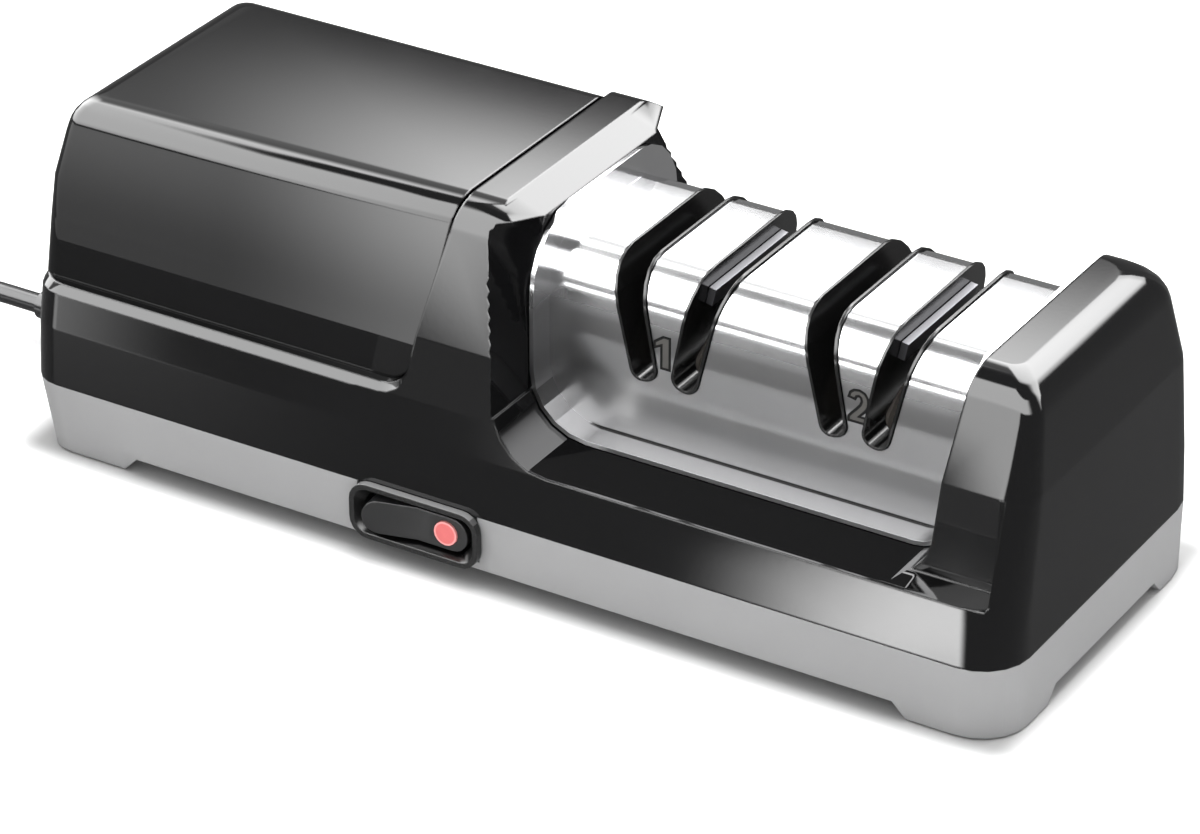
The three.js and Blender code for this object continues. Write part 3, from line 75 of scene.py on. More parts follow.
# Each point's share of the free stretch, and of the height at which the lead leaves the base
FREE_CORD_SHARES = [
    (0, 1), (0.04, 1), (0.08, 1), (0.12, 1), (0.16, 1), (0.2, 1), (0.25, 1), (0.35, 0.96),
    (0.45, 0.857), (0.55, 0.715), (0.65, 0.558), (0.75, 0.411), (0.85, 0.298), (0.93, 0.249), (1, 0.242),
]
VINYL_CLOUD = 9 * MM
VINYL_GRAIN = 0.35 * MM
VINYL_GRAIN_DEPTH = 0.01 * MM
BEVEL_SAMPLES = 6

coil_pitch = CORD_DIAMETER + COIL_LOOSENESS
coil_outer = COIL_RADIUS + coil_pitch * COIL_TURNS / 4
coil_start_x = COIL_X + CORD_DIAMETER


def coil_point(turn):
    """A point of the coil: inwards on the table for its first half, then outwards on top of that."""
    angle = pi / 2 + 2 * pi * turn
    from_middle = turn - COIL_TURNS / 2
    radius = coil_outer - (COIL_TURNS / 2 - abs(from_middle)) * coil_pitch
    share = min(max(from_middle / CLIMB_TURNS + 0.5, 0), 1)
    climb = share * share * (3 - 2 * share)
    return Vector((
        COIL_X + radius * cos(angle),
        CORD_Y - coil_outer + radius * sin(angle),
        CORD_DIAMETER / 2 + climb * coil_pitch,
    ))


def cord_route():
    """The lead's centre line, from the strain relief through the coil to the plug."""
    free = coil_start_x - CORD_START_X
    route = [
        Vector((CORD_START_X + free * along, CORD_Y, CORD_HEIGHT * rise))
        for along, rise in FREE_CORD_SHARES
    ]
    steps = round(COIL_TURNS * POINTS_PER_TURN)
    route += [coil_point(COIL_TURNS * step / steps) for step in range(steps + 1)]
    route.append(route[-1] + Vector((COIL_TAIL, 0, 0)))
    return route


def swept_curve(name, route, radius):
    data = bpy.data.curves.new(name, "CURVE")
    data.dimensions = "3D"
    data.bevel_depth = radius
    data.bevel_resolution = SHEATH_STEPS
    data.use_fill_caps = True
    spline = data.splines.new("POLY")
    spline.points.add(len(route) - 1)
    for point, place in zip(spline.points, route):
        point.co = (*place, 1)
        point.radius = 1
    spline.use_smooth = True
    piece = bpy.data.objects.new(name, data)
    bpy.context.scene.collection.objects.link(piece)
    return piece


class Wire:
    """A socket of a material's nodes. Arithmetic on it adds Math nodes."""

    def __init__(self, tree, socket=None):
        self.tree = tree
        self.socket = socket

    def node(self, kind, settings=None, output=0, **sockets):
        """Adds a node. A socket is given by its name, or as _0 and so on by its place."""
        made = self.tree.nodes.new("ShaderNode" + kind)
        for setting, value in (settings or {}).items():
            setattr(made, setting, value)
        for socket, value in sockets.items():
            key = int(socket[1:]) if socket[0] == "_" else socket.replace("_", " ")
            if isinstance(value, Wire):
                self.tree.links.new(value.socket, made.inputs[key])
            else:
                made.inputs[key].default_value = value
        return Wire(self.tree, made.outputs[output])

    def maths(self, operation, other=0.0):
        return self.node("Math", {"operation": operation}, _0=self, _1=other)

    def __add__(self, other):
        return self.maths("ADD", other)

    def __sub__(self, other):
        return self.maths("SUBTRACT", other)

    def __rsub__(self, other):
        return self.node("Math", {"operation": "SUBTRACT"}, _0=other, _1=self)

    def __mul__(self, other):
        return self.maths("MULTIPLY", other)

    __radd__ = __add__
    __rmul__ = __mul__

    def step(self, span, start=0.0, end=1.0):
        """Goes smoothly from start to end while the value goes through the span."""
        return self.node(
            "MapRange", {"interpolation_type": "SMOOTHSTEP"},
            Value=self, From_Min=span[0], From_Max=span[1], To_Min=start, To_Max=end,
        )

    def fall(self, span):
        """Goes smoothly from one to zero while the value goes through the span."""
        return self.step(span, 1.0, 0.0)

    def tint(self, first, second):
        """A colour that goes from the first to the second with this value."""
        return self.node("Mix", {"data_type": "RGBA"}, output=2, _0=self, _6=first, _7=second)


def new_finish(name, **constants):
    """A material with its shader's fixed values, as (material, shader, a Wire of the place on the piece)."""
    material = bpy.data.materials.new(name)
    material.use_nodes = True
    shader = material.node_tree.nodes["Principled BSDF"]
    for socket, value in constants.items():
        shader.inputs[socket.replace("_", " ")].default_value = value
    place = Wire(material.node_tree).node("TexCoord", output=3)
    return material, shader, place


def feed(shader, **wires):
    for socket, wire in wires.items():
        wire.tree.links.new(wire.socket, shader.inputs[socket.replace("_", " ")])


def grain(place, size, detail=2.0, stretch=(1, 1, 1)):
    """Noise whose lumps are about that size in metres, longer along the axes with a stretch."""
    scaled = place.node("Mapping", Vector=place, Scale=tuple(1 / (size * s) for s in stretch))
    return place.node("TexNoise", Vector=scaled, Scale=1.0, Detail=detail)


def rounded_edges(place, radius):
    """The surface's direction, with its edges rounded by a radius in metres."""
    return place.node("Bevel", {"samples": BEVEL_SAMPLES}, Radius=radius)


def relief(place, height, depth, edge=0.0):
    """A bump of that depth in metres, over edges rounded by a radius in metres."""
    if edge:
        rounded = rounded_edges(place, edge)
        return place.node("Bump", Height=height, Distance=depth, Strength=1.0, Normal=rounded)
    return place.node("Bump", Height=height, Distance=depth, Strength=1.0)


def shades(tone, spread):
    """A colour's darker and lighter neighbour."""
    return [(*(channel * share for channel in tone), 1) for share in (1 - spread, 1 + spread)]


def parts_of(vector):
    """A vector's three numbers, each as a Wire."""
    split = vector.node("SeparateXYZ", _0=vector).socket.node
    return [Wire(vector.tree, output) for output in split.outputs]


def vinyl(name, tone):
    """Soft glossy vinyl, clouded by handling, with a fine skin."""
    material, shader, place = new_finish(name, IOR=1.5)
    cloud = grain(place, VINYL_CLOUD, 3)
    fine = grain(place, VINYL_GRAIN)
    feed(
        shader,
        Base_Color=cloud.tint(*shades(tone, 0.14)),
        Roughness=0.1 + 0.1 * cloud + 0.06 * fine,
        Normal=relief(place, fine, VINYL_GRAIN_DEPTH),
    )
    return material


cord_vinyl = vinyl("dark_cord_vinyl", (0.022, 0.022, 0.023))
cord_points = cord_route()
mains_lead = swept_curve("mains_lead", cord_points, CORD_DIAMETER / 2)
mains_lead.data.materials.append(cord_vinyl)
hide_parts("mains_cord", "mains_cord_coil")
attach(mains_lead, "housing")

# Strain relief and plug
# Both are moulded onto the lead in the same vinyl, the relief as a tapered sleeve held in the base's
# wall by a flange. The plug's two blades are stamped from brass and nickel plated.
SAME_POINT = 0.002 * MM
SHARP_ANGLE = 34  # degrees, as the two below
FLAT_ANGLE = 0.6
ONE_FACE_ANGLE = 2
CREASES = ((4.5, 5.5 * MM), (18, 3.2 * MM))  # fold in degrees, with the least breadth of its two faces
FACE_WEIGHT = 100
METAL_CLOUD = 12 * MM
METAL_MARK = 0.2 * MM
METAL_MARK_DEPTH = 0.004 * MM
METAL_EDGE = 0.15 * MM


def mark_creases(mesh):
    """Keeps a gentle fold between two broad faces crisp, while the narrow facets of a radius stay smooth."""
    places = [tuple(round(c / SAME_POINT) for c in vertex.co) for vertex in mesh.vertices]
    around = {}
    for face in mesh.polygons:
        for edge in face.edge_keys:
            around.setdefault(frozenset(places[corner] for corner in edge), []).append(face.index)
    group = list(range(len(mesh.polygons)))

    def root(face):
        while group[face] != face:
            face = group[face]
        return face

    def fold(pair):
        return mesh.polygons[pair[0]].normal.angle(mesh.polygons[pair[1]].normal, 0)

    # Triangles of one flat face share a group, whose breadth is its area over its greatest span
    pairs = {edge: faces for edge, faces in around.items() if len(faces) == 2}
    for pair in pairs.values():
        if fold(pair) < radians(ONE_FACE_ANGLE):
            group[root(pair[0])] = root(pair[1])
    members = {}
    for face in mesh.polygons:
        members.setdefault(root(face.index), []).append(face)
    breadth = {}
    for first, faces in members.items():
        corners = [mesh.vertices[corner].co for face in faces for corner in face.vertices]
        spans = [max(c[axis] for c in corners) - min(c[axis] for c in corners) for axis in range(3)]
        breadth[first] = sum(face.area for face in faces) / max(Vector(spans).length, SAME_POINT)
    meeting = {}
    for edge in pairs:
        for end in edge:
            meeting.setdefault(end, []).append(edge)
    broad = set()
    for edge, pair in pairs.items():
        narrower = min(breadth[root(face)] for face in pair)
        if any(fold(pair) > radians(angle) and narrower > least for angle, least in CREASES):
            broad.add(edge)
    split = {edge for edge, pair in pairs.items() if fold(pair) > radians(SHARP_ANGLE)} | broad
    # A crease that ends at a vertex splits nothing, so each runs on along the line that continues it best
    ends = [(edge, end) for edge in broad for end in edge]
    while ends:
        edge, end = ends.pop()
        others = [other for other in meeting[end] if other != edge and len(other) == 2]
        if len(edge) < 2 or any(other in split for other in others):
            continue
        start = next(place for place in edge if place != end)
        onward = (Vector(end) - Vector(start)).normalized()
        rated = []
        for other in others:
            far = next(place for place in other if place != end)
            straightness = onward.dot((Vector(far) - Vector(end)).normalized())
            rated.append((straightness + fold(pairs[other]), other, far))
        if rated:
            _, next_edge, far = max(rated, key=lambda entry: entry[0])
            split.add(next_edge)
            if fold(pairs[next_edge]) > radians(ONE_FACE_ANGLE):
                ends.append((next_edge, far))
    for edge in mesh.edges:
        edge.use_edge_sharp = frozenset(places[corner] for corner in edge.vertices) in split


def dress(node, material):
    """Gives a CAD piece its real finish, its facets turned into smooth radii and flat faces."""
    piece = nodes[node]
    piece.data.polygons.foreach_set("use_smooth", [True] * len(piece.data.polygons))
    mark_creases(piece.data)
    weld = piece.modifiers.new("weld", "WELD")
    weld.merge_threshold = SAME_POINT
    flat = piece.modifiers.new("flat_faces", "DECIMATE")
    flat.decimate_type = "DISSOLVE"
    flat.angle_limit = radians(FLAT_ANGLE)
    flat.delimit = {"SHARP"}
    split = piece.modifiers.new("edges", "EDGE_SPLIT")
    split.split_angle = radians(SHARP_ANGLE)
    normals = piece.modifiers.new("normals", "WEIGHTED_NORMAL")
    normals.weight = FACE_WEIGHT
    for slot in piece.material_slots:
        slot.material = material


def metal(name, tone, roughness, stretch=(1, 1, 1)):
    """Bare or plated metal, with drawing marks along the stretched axes."""
    material, shader, place = new_finish(name, Metallic=1.0)
    cloud = grain(place, METAL_CLOUD, 4)
    marks = grain(place, METAL_MARK, 3, stretch)
    feed(
        shader,
        Base_Color=cloud.tint(*shades(tone, 0.1)),
        Roughness=roughness + 0.1 * cloud + 0.08 * marks,
        Normal=relief(place, marks, METAL_MARK_DEPTH, METAL_EDGE),
    )
    return material


plug_vinyl = vinyl("moulded_plug_vinyl", (0.024, 0.024, 0.025))
blade_nickel = metal("nickel_plated_blade", (0.62, 0.6, 0.56), 0.16, (30, 1, 1))
dress("cord_strain_relief", plug_vinyl)
dress("plug_body", plug_vinyl)
for side in ("left", "right"):
    dress("plug_blade_" + side, blade_nickel)
# The coil and the plug lie outside the photograph's view, and stay out of the gloss of the body too
for node in ("plug_body", "plug_blade_left", "plug_blade_right"):
    nodes[node].visible_glossy = False
mains_lead.visible_glossy = False

# Base housing
# One tray moulded in mid grey plastic with a fine satin texture, its lower edge arched between four feet.
# It carries the motor's saddles and the shaft's pedestals inside.
MOULDED_CLOUD = 22 * MM
MOULDED_TEXTURE = 0.25 * MM
RUB_PATCH = 1.5 * MM
RUB_COVER = (0.35, 0.65)
RUB_BEND = (0.02, 0.25)  # how far an edge bends before hands have rubbed it
RUB_GAIN = 1.25
RUB_LIFT = 0.002


def moulded(
    name, tone, roughness, texture_depth, edge_radius,
    texture=MOULDED_TEXTURE, sheen_spread=0.1, evened=None, paint_light_and_shade=None, **constants,
):
    """Moulded plastic: clouded tone, handling marks in its sheen, tool texture, and edges rubbed brighter.

    evened changes its direction by the place on the piece, and shaded paints light and shade into its colour
    by the place.
    """
    material, shader, place = new_finish(name, IOR=1.5, **constants)
    cloud = grain(place, MOULDED_CLOUD, 4)
    fine = grain(place, texture)
    rounded = rounded_edges(place, edge_radius)
    true_face = place.node("NewGeometry", output=3)
    alike = place.node("VectorMath", {"operation": "DOT_PRODUCT"}, output=1, _0=rounded, _1=true_face)
    rubbed = (1 - alike).step(RUB_BEND) * grain(place, RUB_PATCH, 3).step(RUB_COVER)
    rubbed_tone = (*(channel * RUB_GAIN + RUB_LIFT for channel in tone), 1)
    colour = rubbed.tint(cloud.tint(*shades(tone, 0.07)), rubbed_tone)
    feed(
        shader,
        Base_Color=paint_light_and_shade(place, colour) if paint_light_and_shade else colour,
        Roughness=roughness + sheen_spread * cloud + sheen_spread * 0.3 * fine + 0.06 * rubbed,
        Normal=place.node(
            "Bump", Height=fine, Distance=texture_depth, Strength=1.0,
            Normal=evened(place, rounded) if evened else rounded,
        ),
    )
    return material


base_grey = moulded(
    "satin_grey_base", (0.3, 0.3, 0.303), roughness=0.42, texture_depth=0.02 * MM, edge_radius=0.4 * MM)
dress("base_housing", base_grey)

# Base screws
# Four pan head screws hold the base to the main housing from below, sunk in the wells that the foot pads
# cover. They are zinc plated steel with a cross recess.
SCREW_X = 106 * MM
SCREW_Y = (-30.435 * MM, 33.965 * MM)
SCREW_SEAT = 6.7 * MM
SCREW_HEAD_RADIUS = 2.9 * MM
SCREW_HEAD_HEIGHT = 2 * MM
SCREW_HEAD_SHARES = ((0.8, 0), (0.94, 0.125), (1, 0.35), (1, 1))  # of its radius and its height
SCREW_SHANK_RADIUS = 1.45 * MM
SCREW_SHANK_TOP = 15.5 * MM
SCREW_POINT = 1 * MM
RECESS_HALF = 1.5 * MM
RECESS_WIDTH = 0.34 * MM
RECESS_DEPTH = 1.1 * MM
RECESS_FLOOR_SHARE = 0.7
ROUND_STEPS = 28


def mesh_piece(name, mesh, material, body):
    data = bpy.data.meshes.new(name)
    mesh.to_mesh(data)
    mesh.free()
    data.polygons.foreach_set("use_smooth", [True] * len(data.polygons))
    data.materials.append(material)
    piece = bpy.data.objects.new(name, data)
    bpy.context.scene.collection.objects.link(piece)
    split = piece.modifiers.new("edges", "EDGE_SPLIT")
    split.split_angle = radians(SHARP_ANGLE)
    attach(piece, body)


def revolved(profile):
    """A turned piece about an upright axis, from (radius, height) points. Its first ring stays open."""
    mesh = bmesh.new()
    rings = []
    for radius, height in profile:
        if radius == 0:
            rings.append([mesh.verts.new((0, 0, height))])
            continue
        angles = [2 * pi * index / ROUND_STEPS for index in range(ROUND_STEPS)]
        rings.append([mesh.verts.new((radius * cos(angle), radius * sin(angle), height)) for angle in angles])
    for low, high in zip(rings, rings[1:]):
        for index in range(ROUND_STEPS):
            after = index + 1
            corners = [low[index % len(low)], low[after % len(low)]]
            corners += [high[after % len(high)], high[index % len(high)]]
            unique = list(dict.fromkeys(corners))
            if len(unique) > 2:
                mesh.faces.new(unique)
    bmesh.ops.recalc_face_normals(mesh, faces=mesh.faces)
    return mesh


def recess_ring(share, height):
    """The twelve corners of a cross, round from its right arm."""
    half, width = RECESS_HALF * share, RECESS_WIDTH * share
    corners = []
    for quarter in range(4):
        turn = Matrix.Rotation(quarter * pi / 2, 2)
        corners += [turn @ Vector(corner) for corner in ((half, -width), (half, width), (width, width))]
    return [(*corner, height) for corner in corners]


def ring_edges(mesh, ring):
    """The edges around a ring of vertices, made where they are missing."""
    ends = zip(ring, ring[1:] + ring[:1])
    return [mesh.edges.get(pair) or mesh.edges.new(pair) for pair in ends]


def screw_mesh(place):
    """A pan head seen from below, with a cross sunk in its face, on a plain shank."""
    shank_top = SCREW_SHANK_TOP - SCREW_SEAT + SCREW_HEAD_HEIGHT
    head = [(SCREW_HEAD_RADIUS * across, SCREW_HEAD_HEIGHT * up) for across, up in SCREW_HEAD_SHARES]
    shank = [(SCREW_SHANK_RADIUS, SCREW_HEAD_HEIGHT), (SCREW_SHANK_RADIUS, shank_top)]
    mesh = revolved(head + shank + [(0, shank_top + SCREW_POINT)])
    mesh.verts.ensure_lookup_table()
    rim = [mesh.verts[index] for index in range(ROUND_STEPS)]
    mouth = [mesh.verts.new(corner) for corner in recess_ring(1, 0)]
    floor = [mesh.verts.new(corner) for corner in recess_ring(RECESS_FLOOR_SHARE, RECESS_DEPTH)]
    count = len(mouth)
    for index in range(count):
        after = (index + 1) % count
        mesh.faces.new((mouth[index], mouth[after], floor[after], floor[index]))
    mesh.faces.new(floor)
    bmesh.ops.triangle_fill(mesh, edges=ring_edges(mesh, rim) + ring_edges(mesh, mouth), use_beauty=True)
    over_mouth = [face for face in mesh.faces if len(face.verts) == 3 and all(v in mouth for v in face.verts)]
    bmesh.ops.delete(mesh, geom=over_mouth, context="FACES_ONLY")
    bmesh.ops.recalc_face_normals(mesh, faces=mesh.faces)
    bmesh.ops.translate(mesh, vec=place, verts=mesh.verts)
    return mesh


zinc = metal("zinc_plated_steel", (0.6, 0.61, 0.64), 0.2, (1, 30, 30))
for side, x in (("left", -SCREW_X), ("right", SCREW_X)):
    for end, y in zip(("front", "rear"), SCREW_Y):
        screw = screw_mesh((x, y, SCREW_SEAT - SCREW_HEAD_HEIGHT))
        mesh_piece(f"base_screw_{end}_{side}", screw, zinc, "housing")

# Foot pads
# Four discs of black rubber are glued into shallow seats under the feet. They cover the screw wells and
# stop the sharpener from sliding.
pad_rubber = moulded(
    "black_rubber_pads", (0.02, 0.02, 0.02), roughness=0.7, texture_depth=0.04 * MM, edge_radius=0.3 * MM)
for corner in ("front_left", "front_right", "rear_left", "rear_right"):
    dress("foot_pad_" + corner, pad_rubber)

# Main housing and motor cover
# Both are high gloss black plastic from polished moulds, joined along a fine parting line beside the
# left tower. They show faint flow in their gloss and dull slightly where hands rub the edges.
GLOSS_BLACK = {
    "tone": (0.0045, 0.0045, 0.0048), "roughness": 0.02, "texture_depth": 0.0005 * MM,
    "edge_radius": 0.6 * MM, "texture": 1.1 * MM, "sheen_spread": 0.04,
}
# The pocket's flared left wall lies within these edges, and its slope is one even direction
WALL_SLOPE = (0.93, -0.33, 0.12)
WALL_LEFT = (-10 * MM, -9 * MM)
WALL_RIGHT = (3 * MM, 4 * MM)
WALL_FRONT = (-22 * MM, -21 * MM)
WALL_REAR = (20 * MM, 21 * MM)
WALL_FOOT = (36 * MM, 38 * MM)
WALL_FACING = (0.4, 0.5)
WALL_UPTURN = (0.7, 0.8)
# The floor in front of the hood lies within these, and mirrors the dark above the panels
FLOOR_SLOPE = (0, -0.5, 0.866)
FLOOR_LEFT = (3 * MM, 4 * MM)
FLOOR_RIGHT = (96 * MM, 97 * MM)
FLOOR_FRONT = (-43.1 * MM, -42.8 * MM)
FLOOR_REAR = (-22 * MM, -21 * MM)
FLOOR_TOP = (31 * MM, 31.4 * MM)
FLOOR_UPTURN = (0.9, 0.95)


def even_pocket(place, normal):
    """Gives the pocket's flared left wall and its front floor one even slope each."""
    x, y, z = parts_of(place)
    facing_x, _, facing_z = parts_of(place.node("NewGeometry", output=3))
    wall = x.step(WALL_LEFT) * x.fall(WALL_RIGHT) * (y.fall(WALL_FRONT) + y.step(WALL_REAR))
    wall = wall * z.step(WALL_FOOT) * facing_x.step(WALL_FACING) * facing_z.fall(WALL_UPTURN)
    walled = place.node("Mix", {"data_type": "VECTOR"}, output=1, _0=wall, _4=normal, _5=WALL_SLOPE)
    floor = x.step(FLOOR_LEFT) * x.fall(FLOOR_RIGHT) * y.step(FLOOR_FRONT) * y.fall(FLOOR_REAR)
    floor = floor * z.fall(FLOOR_TOP) * facing_z.step(FLOOR_UPTURN)
    return place.node("Mix", {"data_type": "VECTOR"}, output=1, _0=floor, _4=walled, _5=FLOOR_SLOPE)


dress("motor_cover", moulded("gloss_black_cover", **GLOSS_BLACK))
dress("main_housing", moulded("gloss_black_housing", **GLOSS_BLACK, evened=even_pocket))

# Steel guide cover
# A hood folded from one millimetre stainless sheet, polished with fine lengthwise marks, with a flange
# around its edge and four slots stamped through it.
HOOD_FRONT = (-20.9 * MM, -20 * MM)
HOOD_FACE_TOP = (57 * MM, 64 * MM)
HOOD_SHOULDER = (-20 * MM, -12 * MM)
# The up-facing part of the front flange is painted dark within these spans, a painted shade
FLANGE_TOP = (40 * MM, 42 * MM)
FLANGE_UPTURN = (0.2, 0.4)
FLANGE_PAINTED_SHADE = (0.21, 0.21, 0.212, 1)
# The lowest strip of the front face, along its fold, is painted near black as a painted shade
FOLD_TOP = (31.85 * MM, 32 * MM)
FOLD_FRONT = (-21.7 * MM, -21.55 * MM)
FOLD_PAINTED_SHADE = (0.06, 0.06, 0.06, 1)
POLISH_STRETCH = (40, 1, 1)
POLISH_DEPTH = 0.00003 * MM
HOOD_EDGE = 0.12 * MM

guide_steel, steel_shader, steel_place = new_finish("polished_cover_steel", Metallic=1.0)
_, steel_y, steel_z = parts_of(steel_place)
steel_up = parts_of(steel_place.node("NewGeometry", output=3))[2]
hood_front = steel_y.fall(HOOD_FRONT)
front_face_painted_shade = hood_front * steel_z.fall(HOOD_FACE_TOP)
hood_shoulder = steel_y.fall(HOOD_SHOULDER)
flange_painted_shade = hood_front * steel_up.step(FLANGE_UPTURN) * steel_z.fall(FLANGE_TOP)
fold_painted_shade = hood_front * steel_z.fall(FOLD_TOP) * steel_y.step(FOLD_FRONT)
steel_cloud = grain(steel_place, METAL_CLOUD, 4)
steel_marks = grain(steel_place, METAL_MARK, 3, POLISH_STRETCH)
# The front face is painted darker than the top, a painted shade in place of its reflection, and is made
# rougher too
bright_steel = steel_cloud.tint(*shades((0.74, 0.74, 0.75), 0.06))
painted_shade_steel = steel_cloud.tint(*shades((0.42, 0.42, 0.425), 0.06))
hood_colour_and_painted_shade = flange_painted_shade.tint(front_face_painted_shade.tint(bright_steel, painted_shade_steel), FLANGE_PAINTED_SHADE)
feed(
    steel_shader,
    Base_Color=fold_painted_shade.tint(hood_colour_and_painted_shade, FOLD_PAINTED_SHADE),
    Roughness=0.07 + 0.05 * steel_cloud + 0.015 * steel_marks + 0.06 * hood_shoulder + 0.15 * front_face_painted_shade,
    Normal=relief(steel_place, steel_marks, POLISH_DEPTH, HOOD_EDGE),
)
dress("guide_cover", guide_steel)

# Stage numerals
# A plain 1 and a plain 2 are etched into the hood's front face beside each pair of slots.
# The etching leaves a dull brownish grey floor with a darker outline.
HOOD_FACE_Y = -21.035 * MM
NUMERAL_PROUD = 0.02 * MM
NUMERAL_SUNK = 0.3 * MM
OUTLINE_WIDTH = 0.3 * MM
MITRE_LEAST = 0.5  # share that keeps the outline's sharp corners short
NUMERAL_ONE = [(0.9, 0), (2.9, 0), (2.9, 7.4), (1.35, 7.4), (-0.7, 5.9), (-0.7, 4.55), (0.9, 5.35)]
NUMERAL_TWO = [
    (-2.2, 0), (2.25, 0), (2.25, 1.35), (0.15, 1.35), (1.5, 2.85), (2.05, 3.75), (2.25, 4.75), (2.05, 5.95),
    (1.35, 6.95), (0.15, 7.4), (-1.15, 7.2), (-1.95, 6.55), (-2.3, 5.45), (-0.85, 5.2), (-0.55, 5.85),
    (0.05, 6.1), (0.55, 5.75), (0.7, 5.0), (0.4, 4.1), (-0.45, 3.05), (-1.6, 1.75), (-2.2, 1.0),
]
# Each numeral's outline in millimetres, with its x and the height of its foot
NUMERALS = {"one": (NUMERAL_ONE, 26.3 * MM, 49.8 * MM), "two": (NUMERAL_TWO, 73.3 * MM, 50.6 * MM)}
ETCHED = {
    "roughness": 0.6, "texture_depth": 0.002 * MM, "edge_radius": 0.02 * MM, "Specular_IOR_Level": 0.08,
}


def numeral_mesh(outline, x, foot, proud, grow):
    """A thin plate with that outline on the hood's face, grown all round by a distance."""
    mesh = bmesh.new()
    count = len(outline)
    corners = [Vector(corner) * MM for corner in outline]
    grown = []
    for index, corner in enumerate(corners):
        before = (corner - corners[index - 1]).normalized()
        after = (corners[(index + 1) % count] - corner).normalized()
        beside = Vector((after.y, -after.x))
        outward = (Vector((before.y, -before.x)) + beside).normalized()
        grown.append(corner + outward * grow / max(outward.dot(beside), MITRE_LEAST))
    front = [mesh.verts.new((x + u, HOOD_FACE_Y - proud, foot + v)) for u, v in grown]
    back = [mesh.verts.new((x + u, HOOD_FACE_Y + NUMERAL_SUNK, foot + v)) for u, v in grown]
    mesh.faces.new(front)
    mesh.faces.new(list(reversed(back)))
    for index in range(count):
        after = (index + 1) % count
        mesh.faces.new((front[after], front[index], back[index], back[after]))
    bmesh.ops.recalc_face_normals(mesh, faces=mesh.faces)
    return mesh


etched_floor = moulded("etched_numeral_floor", (0.1, 0.097, 0.092), **ETCHED)
etched_line = moulded("etched_numeral_outline", (0.012, 0.012, 0.012), **ETCHED)
for name, (outline, x, foot) in NUMERALS.items():
    rim = numeral_mesh(outline, x, foot, NUMERAL_PROUD / 2, OUTLINE_WIDTH)
    mesh_piece(f"numeral_{name}_outline", rim, etched_line, "housing")
    face = numeral_mesh(outline, x, foot, NUMERAL_PROUD, -OUTLINE_WIDTH)
    mesh_piece(f"numeral_{name}", face, etched_floor, "housing")

# Slot linings
# Each slot has a U-shaped lining of black plastic that keeps a blade off the steel, pressed in from above.
# Its lip stands half a millimetre proud of the hood.
liner_black = moulded(
    "black_slot_liner", (0.005, 0.005, 0.005), roughness=0.14, texture_depth=0.004 * MM, edge_radius=0.2 * MM)
for stage in ("coarse", "fine"):
    for side in ("left", "right"):
        dress(f"slot_liner_{stage}_{side}", liner_black)

# Magnet bars
# A plain bar of sintered magnet is fixed along the inner side of each slot, above the wheels. It draws
# the blade against its guide.
magnet_grey = metal("sintered_magnet", (0.2, 0.2, 0.21), 0.35)
for stage in ("coarse", "fine"):
    for side in ("left", "right"):
        dress(f"magnet_bar_{stage}_{side}", magnet_grey)

# Switch
# A rocker with rounded ends tips in a black frame that clips into the base's front wall. The frame's
# opening is a sloping funnel, and both are moulded in dark satin plastic.
# The frame's top face is painted lighter within these spans, a painted highlight, and the bottom of its
# funnel darker, a painted shade
FRAME_TOP = (14.5 * MM, 15.5 * MM)
FRAME_TOP_UPTURN = (0.6, 0.9)
FRAME_TOP_PAINTED_HIGHLIGHT = (0.3, 0.3, 0.302, 1)
FUNNEL_BOTTOM = (9 * MM, 10 * MM)
FUNNEL_BOTTOM_UPTURN = (0.3, 0.6)
FUNNEL_PAINTED_SHADE = (0.002, 0.002, 0.002, 1)


def paint_frame_light_and_shade(place, colour):
    """Paints a highlight onto the frame's top face, and paints shade into the bottom of its funnel."""
    height = parts_of(place)[2]
    upturn = parts_of(place.node("NewGeometry", output=3))[2]
    top = upturn.step(FRAME_TOP_UPTURN) * height.step(FRAME_TOP)
    bottom = upturn.step(FUNNEL_BOTTOM_UPTURN) * height.fall(FUNNEL_BOTTOM)
    return bottom.tint(top.tint(colour, FRAME_TOP_PAINTED_HIGHLIGHT), FUNNEL_PAINTED_SHADE)


frame_black = moulded(
    "black_switch_frame", (0.012, 0.012, 0.012), roughness=0.2, texture_depth=0.006 * MM,
    edge_radius=0.3 * MM, paint_light_and_shade=paint_frame_light_and_shade)
rocker_black = moulded(
    "black_switch_rocker", (0.016, 0.016, 0.0165), roughness=0.28, texture_depth=0.008 * MM,
    edge_radius=0.35 * MM)
dress("switch_frame", frame_black)
dress("switch_rocker", rocker_black)

# Switch lamp
# A round lens of salmon red acrylic is pressed into the rocker, with a small neon lamp behind it.
# Its rounded rim is painted paler, a painted highlight where it would catch the light.
LENS_RIM_SHARES = (0.78, 0.9)  # of the lens's radius
LENS_RIM_PAINTED_HIGHLIGHT = (0.85, 0.34, 0.33, 1)
LENS_CLOUD = 2 * MM
LENS_WAVE = 0.02 * MM
LENS_EDGE = 0.3 * MM


def distance(first, second):
    """How far a point at those two numbers is from zero."""
    return (first * first + second * second).maths("POWER", 0.5)


